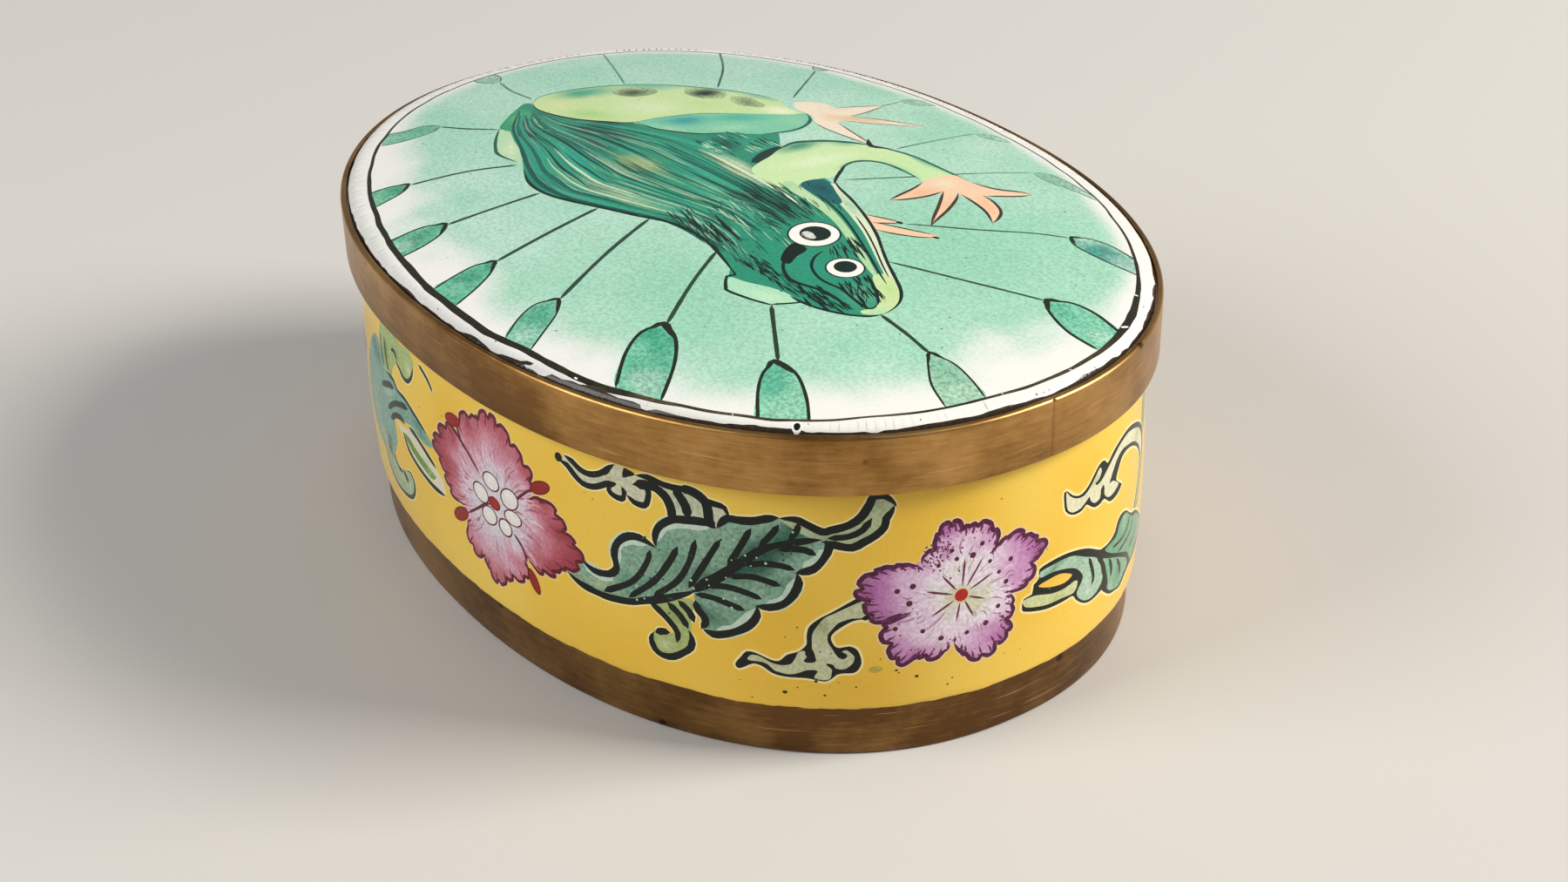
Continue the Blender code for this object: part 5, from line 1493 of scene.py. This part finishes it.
branch.fill(((13.4, 12.7), (13.2, 11.5), (12.7, 10.3), (12.2, 9.3), (11.8, 9.4), (12.1, 10.3), (12.5, 11.3),
    (12.8, 12.6)), wash("B4BC72", grain=0.3))
branch.fill(((0.9, 10.4), (1.9, 10.5), (2.8, 10.5), (3.7, 10.3), (4.8, 9.7), (5.9, 9.1), (6.6, 8.3),
    (6.8, 7.3), (6.7, 6.9), (6.2, 6.5), (5.4, 6.4), (4.7, 6.7), (4.2, 7.2), (4.1, 7.6), (4.4, 8),
    (4.6, 8.4), (4.4, 8.8), (3.8, 9.4), (2.8, 9.8), (1.8, 10), (0.9, 10)),
    wash("A9C8AE", [((2.3, 10.4), (1.6, 0.5), 20, "4F8A6C", 0.9),
    ((4.2, 9.8), (0.8, 0.7), 0, "86B08E", 0.8), ((5.1, 7.3), (0.6, 1.2), 0, "C6DAC4", 0.7)], grain=0.6))
branch.fill(((6.7, 8.6), (7.5, 8.2), (8.7, 7.6), (10.5, 6.5), (10.8, 5.8), (10.3, 5.6), (9.6, 5.2),
    (9, 5.2), (8, 5.6), (7.5, 6.1), (7.6, 6.4), (7.3, 7.3), (7, 8.1)),
    wash("7FB08E", [((9.1, 6.3), (0.9, 1.4), 0, "4F8F6A", 0.9),
    ((8, 5.8), (0.6, 0.5), 0, "B9D3B6", 0.8)], grain=0.6))
branch.fill(((9.9, 10.1), (9.1, 10.1), (8.7, 9.8), (8.4, 9.3), (7.6, 9.2), (6.9, 9.1), (7.8, 8.4),
    (9.5, 7.5), (10.7, 6.8), (11.7, 5.7), (12.9, 6), (14.2, 6.4), (14.1, 7.2), (12.4, 8.6), (11.2, 9.1)),
    wash("6FA580", [((12.7, 6.1), (0.8, 1), 0, "4C8560", 0.8), ((9.6, 9.7), (0.6, 0.8), 0, "A9CDAA", 0.7)],
    grain=0.6))
branch.fill(((-0.3, 8.9), (0.6, 8.9), (1.9, 8.5), (2.9, 8.4), (3.9, 8.5), (4.1, 8.2), (3.8, 7.7),
    (2.7, 7.8), (1.4, 7.9), (0, 8.3), (-0.3, 8.6)), wash("CDD09C",
    [((2.4, 8.1), (1, 0.5), 10, "9AAB52", 0.9)], grain=0.4))
branch.fill(((0.8, 9.5), (1.5, 9.6), (2.5, 9.6), (3.4, 9.2), (3.5, 9), (2.9, 8.8), (1.8, 9), (1, 9.3)),
    yellow_ground)
branch.fill(((13.3, 14.3), (13.7, 15.4), (14.6, 16.6), (15.7, 17.5), (15.8, 16.3), (15.2, 15), (14.3, 14.1),
    (13.7, 13.6)), wash("8FB45E", [((14.6, 15.2), (0.6, 1), -30, "5F8F4C", 0.8)], grain=0.4))
lines(branch, 0.3, INK, ((5.1, 9.5), (5.4, 8.8), (5.7, 7.9), (5.6, 7.3)),
    ((6, 9.1), (6.6, 8.3), (6.9, 7.3)), ((7.5, 8.2), (7.9, 7.4), (8, 6.6)),
    ((8.7, 7.5), (9.3, 6.6), (9.4, 5.9)), taper=0.1, halo=None)
lines(branch, 0.2, INK, ((10.6, 9.6), (10.3, 8.9), (9.3, 8.6), (7.9, 8.7)),
    ((11.6, 8.9), (11.1, 8.2), (9.9, 8), (8.8, 7.9)), ((12.7, 7.9), (12.1, 7.2), (10.8, 7)),
    ((13.3, 14.2), (13.7, 15.4), (14.6, 16.6), (15.7, 17.5)), ((13.7, 13.6), (14.3, 14.1), (15.2, 15),
    (15.8, 16.3), (15.7, 17.4)), ((13.8, 14.1), (14.5, 15.2), (15.3, 16.6)), taper=0.1, halo=None)

# The left spray, cut off by the turn of the wall, runs on to the rose
near = Picture()
NEAR_EDGE = ((-56, 9), (-55.5, 12), (-53.5, 14.6), (-51.8, 15.2), (-50.1, 13.6), (-48.6, 13.7),
    (-47.9, 13.3), (-46.6, 13.3), (-45.4, 13), (-44.4, 12.7), (-43.2, 12.3), (-42.4, 11.8), (-43.8, 11.4),
    (-44.4, 11.5), (-45.7, 11.7), (-46.7, 11.6), (-47.8, 11.4), (-48.8, 10.9), (-48.8, 10.2), (-48.7, 9.2),
    (-49.6, 7.9), (-51.2, 7), (-52.6, 6.9), (-53.9, 7.1), (-55.2, 7.9))
near.fill(NEAR_EDGE, wash("86B09A", [((-52, 14), (2.2, 1.4), -20, "2F5F52", 0.9),
    ((-50, 12.2), (2.2, 0.5), 20, "ABC8B2", 0.9), ((-50.5, 8.1), (0.8, 1), 0, "24503F", 0.95),
    ((-44.2, 12.1), (1.8, 0.5), -18, "2F7A5E", 0.9), ((-53.5, 9.5), (1.6, 2.4), 0, "9BBCA2", 0.8),
    ((-47.4, 12.1), (1.6, 0.4), 0, "6FA58C", 0.8)], grain=0.8, wander=0.6))
near.fill(((-51.2, 16.6), (-50.2, 17.2), (-48.4, 17), (-47, 16.9), (-45.6, 17), (-44.9, 16.5),
    (-45.1, 15.8), (-45.7, 15), (-46.6, 14.8), (-47.2, 15.3), (-47.9, 15.2), (-48.7, 14.4), (-48.9, 13.8),
    (-50.3, 13.6), (-51, 14.4), (-51.4, 15.4)), wash("A9BC72", [((-50, 15), (0.8, 1.3), 0, "5A9038", 0.9),
    ((-45.8, 15.8), (0.8, 0.7), 0, "CBD0A4", 0.9)], grain=0.5))
near.fill(((-48.4, 10.9), (-47.2, 11), (-45.6, 11.4), (-44.3, 11.1), (-43.3, 10.7), (-42.3, 10.4),
    (-41.4, 9.9), (-41.2, 9.1), (-42.6, 8.9), (-43.8, 9.1), (-45.3, 9.4), (-46.4, 9.8), (-47.4, 10.3)),
    wash("DDD9B8", [((-43.8, 10.2), (1.8, 0.3), -20, "C2C294", 0.8)], grain=0.2))
near.fill(((-47.4, 10.5), (-46.4, 10.1), (-45.3, 9.7), (-43.8, 9.4), (-42.9, 9.3), (-42.4, 9.7),
    (-43.6, 10), (-45, 10.3), (-46.3, 10.7)), wash("6E9440", [((-43.2, 9.6), (0.8, 0.4), 0, "B5C28A", 0.8)],
    grain=0.5))
near.fill(((-53, 8.4), (-52.3, 7), (-51.7, 6.2), (-51.2, 5.7), (-50.2, 5.35), (-49, 5.35), (-47.8, 5.55),
    (-46.8, 6), (-46.2, 6.8), (-46.1, 7.5), (-46.7, 7.85), (-47.6, 7.6), (-48.1, 7.2), (-48.9, 7.1),
    (-49.6, 7.3), (-50, 8.2), (-51.5, 8.4)), wash("A9BC8E", [((-50.6, 7.8), (1, 1), 0, "2A5C48", 0.95),
    ((-50.6, 6.2), (1, 0.8), -30, "86AC8E", 0.8), ((-47.2, 6.6), (0.8, 0.6), 20, "C6CFA0", 0.8)],
    grain=0.5))
FAR_INK = wash("17332B", grain=0.5)
lines(near, 0.3, FAR_INK, NEAR_EDGE[4:11], ((-50.3, 16), (-49.9, 14.5), (-49.4, 13.9)),
    ((-51.3, 15.9), (-51, 14.8), (-50.4, 13.8)), ((-48, 15.3), (-47.3, 15.1), (-46.8, 14.8), (-46, 14.8),
    (-45.3, 15.4), (-45, 16.2)), ((-48.9, 15.7), (-48.2, 15.9), (-47.6, 15.4)),
    ((-44.2, 16.8), (-43.3, 16.5), (-42.6, 16.1), (-42.2, 15.7)),
    ((-52.6, 7.7), (-51.7, 6.3), (-51.2, 5.7), (-50.2, 5.35), (-49, 5.35), (-47.8, 5.55), (-46.8, 6),
    (-46.2, 6.8), (-46.2, 7.5), (-46.7, 7.85), (-47.4, 7.7)), ((-49.8, 7.9), (-49.5, 7.3), (-48.9, 7.05),
    (-48.2, 7.15)))
lines(near, 0.44, FAR_INK, ((-51.4, 12.1), (-49.6, 12.9), (-48.6, 13.1)),
    ((-50.2, 10.9), (-48.6, 12), (-47.1, 12.6), (-46.1, 12.8)),
    ((-49.7, 10.4), (-48.5, 11.2), (-47.4, 11.5), (-46.8, 11.4)),
    ((-48.2, 7.4), (-47.6, 7), (-47.3, 6.8)), halo=None)
lines(near, 0.36, INK, ((-46.2, 11.5), (-45.4, 11.45), (-44.4, 11.2), (-43.4, 10.85), (-42.2, 10.4)),
    ((-47.3, 10.6), (-46.5, 9.7), (-45.2, 9.2), (-43.7, 8.9), (-42.6, 8.8), (-41.2, 8.9)))

# The motifs follow each other round the wall
wall.stamp(near)
wall.stamp(spray)
wall.stamp(branch)
wall.stamp(rose)
wall.stamp(aster)
for place in (22.9, -90.17):
    wall.stamp(spray, place - HEART[0], 0.885, HEART[0])
    wall.stamp(rose, place - HEART[0], 1.0, HEART[0])
for place in (50.4, -62.77):
    if place > 0:
        wall.stamp(branch, place - MIDDLE[0], 0.93, MIDDLE[0])
    wall.stamp(aster, place - MIDDLE[0], 1.0, MIDDLE[0])
# Specks and pits fired into the yellow
SPECK = wash("3E331C", grain=0.5)
for place, size in (((-14.7, 4.7), 0.16), ((-12.9, 5.6), 0.12),
        ((-7.1, 5.6), 0.13), ((-8.3, 6.2), 0.1), ((-12.4, 4.6), 0.09),
        ((-5.2, 4.6), 0.08), ((-10.6, 5.2), 0.07)):
    wall.spot(place, size, SPECK, sides=8, flat=0.8)
wall.spot((-9.5, 6.4), 0.42, wash("C5B04A", grain=0.5), sides=10, flat=0.6)
for number in range(150):
    place = (rng.uniform(START + 1, START + ROUND - 1), rng.uniform(4, 17.8))
    wall.spot(place, rng.uniform(0.03, 0.07), wash("7A6230", grain=0.4), sides=6)


def wall_grid():
    """Places all over the rolled-out wall."""
    places = []
    for rise in (0.003, 0.012, 0.03, 0.06, 0.1, 0.16, 0.24, 0.35, 0.6):
        places.append(np.column_stack([columns[1:-1], coat_foot(columns[1:-1]) + rise]))
    rows = np.arange(COAT_FOOT + 1.1, COAT_TOP - 0.2, GRID * 0.87)
    side = np.concatenate([COAT_FOOT + np.array([0.03, 0.1, 0.2, 0.35, 0.6]), rows])
    for end in (columns[0], columns[-1]):
        places.append(np.column_stack([np.full_like(side, end), side]))
    places.append(np.array([
        (x + (k % 2) * GRID / 2, y)
        for k, y in enumerate(rows)
        for x in np.arange(START + GRID / 2, START + ROUND - GRID * 0.6, GRID)]))
    return np.vstack(places)


def coat_mesh():
    """The coat of enamel round the wall, closed to a thin shell."""
    places, triangles, top, paints = wall.cut(wall_grid())
    colours = corner_paints(places, triangles, top, paints)
    at_start = np.abs(places[:, 0] - START) < 1e-4
    at_end = np.abs(places[:, 0] - START - ROUND) < 1e-4
    swap = np.arange(len(places))
    starts = np.where(at_start)[0]
    for v in np.where(at_end)[0]:
        swap[v] = starts[np.argmin(np.abs(places[starts, 1] - places[v, 1]))]
    inset = coat_inset(places[:, 0], places[:, 1])
    xy = oval(angle_at(places[:, 0]), inset)
    solid_places = [(x, y, z) for (x, y), z in zip(xy, places[:, 1])]
    faces = [[swap[v] for v in t] for t in triangles]
    closing = []
    inner = []
    for loop in open_loops(faces):
        numbers = list(range(len(solid_places), len(solid_places) + len(loop)))
        for v in loop:
            x, y = oval(angle_at(np.array([places[v, 0]])), COAT_BACK)[0]
            solid_places.append((x, y, places[v, 1]))
        inner.append((loop, numbers))
        for i in range(len(loop)):
            j = (i + 1) % len(loop)
            closing.append((loop[j], loop[i], numbers[i], numbers[j]))
    one, two = inner
    order = {round(float(places[v, 0] % ROUND), 3): n for v, n in zip(*two)}
    count = len(one[0])
    for i in range(count):
        j = (i + 1) % count
        a = order[round(float(places[one[0][i], 0] % ROUND), 3)]
        b = order[round(float(places[one[0][j], 0] % ROUND), 3)]
        closing.append((one[1][j], one[1][i], a, b))
    data = mesh_from("wall_enamel", solid_places, faces + closing)
    lay_paint(data, colours, np.append(linear("8C6A3A"), 0.0))

    # The wall's face lies in three rows, its lips and back in a thin strip above them
    third = ROUND / 3
    middles = places[triangles].mean(axis=1)[:, 0]
    rows = np.repeat(np.clip(np.floor((middles - START) / third), 0, 2), 3)
    corners = places[triangles.ravel()]
    across = (corners[:, 0] - START - rows * third + 0.8) / (third + 1.6)
    upward = (corners[:, 1] - COAT_FOOT + 0.6) / (third + 1.6) + rows * 0.29
    strip = {}
    for edge_loop, back_loop in inner:
        for v, n in zip(edge_loop, back_loop):
            share = float(places[v, 0] - START) / ROUND * 0.98 + 0.01
            high = places[v, 1] > COAT_TOP - 1
            strip[v] = (share, 0.99 if high else 0.9)
            strip[n] = (share, 0.96 if high else 0.93)
    lay_map(data, np.vstack([
        np.column_stack([across, upward]), [strip[v] for face in closing for v in face]]))
    return data


add_piece("wall_coat_enamel", coat_mesh(), [wall_enamel], ["box_cup"])

# Floor and light
floor_material, floor_tree, floor_shader = new_material("pale_floor")
floor_shader.inputs["Base Color"].default_value = (*linear("CFCBC4"), 1)
floor_shader.inputs["Roughness"].default_value = 0.8
floor_data = bpy.data.meshes.new("floor")
floor_data.from_pydata([(-2, -2, 0), (2, -2, 0), (2, 2, 0), (-2, 2, 0)], [], [(0, 1, 2, 3)])
floor_data.materials.append(floor_material)
floor = bpy.data.objects.new("floor", floor_data)
bpy.context.scene.collection.objects.link(floor)

world = bpy.data.worlds.new("studio")
world.use_nodes = True
world.node_tree.nodes["Background"].inputs["Color"].default_value = (0.9, 0.93, 1.0, 1)
world.node_tree.nodes["Background"].inputs["Strength"].default_value = 0.28
bpy.context.scene.world = world


def add_light(name, place, aim, size, power, colour):
    """A square soft light that faces a point."""
    data = bpy.data.lights.new(name, "AREA")
    data.size = size
    data.energy = power
    data.color = colour
    light = bpy.data.objects.new(name, data)
    bpy.context.scene.collection.objects.link(light)
    light.location = place
    light.rotation_mode = "QUATERNION"
    light.rotation_quaternion = (Vector(aim) - Vector(place)).to_track_quat("-Z", "Y")
    return light


add_light("key", (0.38, 0.5, 0.45), (0, 0, 0.01), 0.3, 7.0, (1.0, 0.96, 0.9))
add_light("fill", (-0.15, -0.6, 0.4), (0, 0, 0.01), 0.4, 3.0, (0.96, 0.98, 1.0))
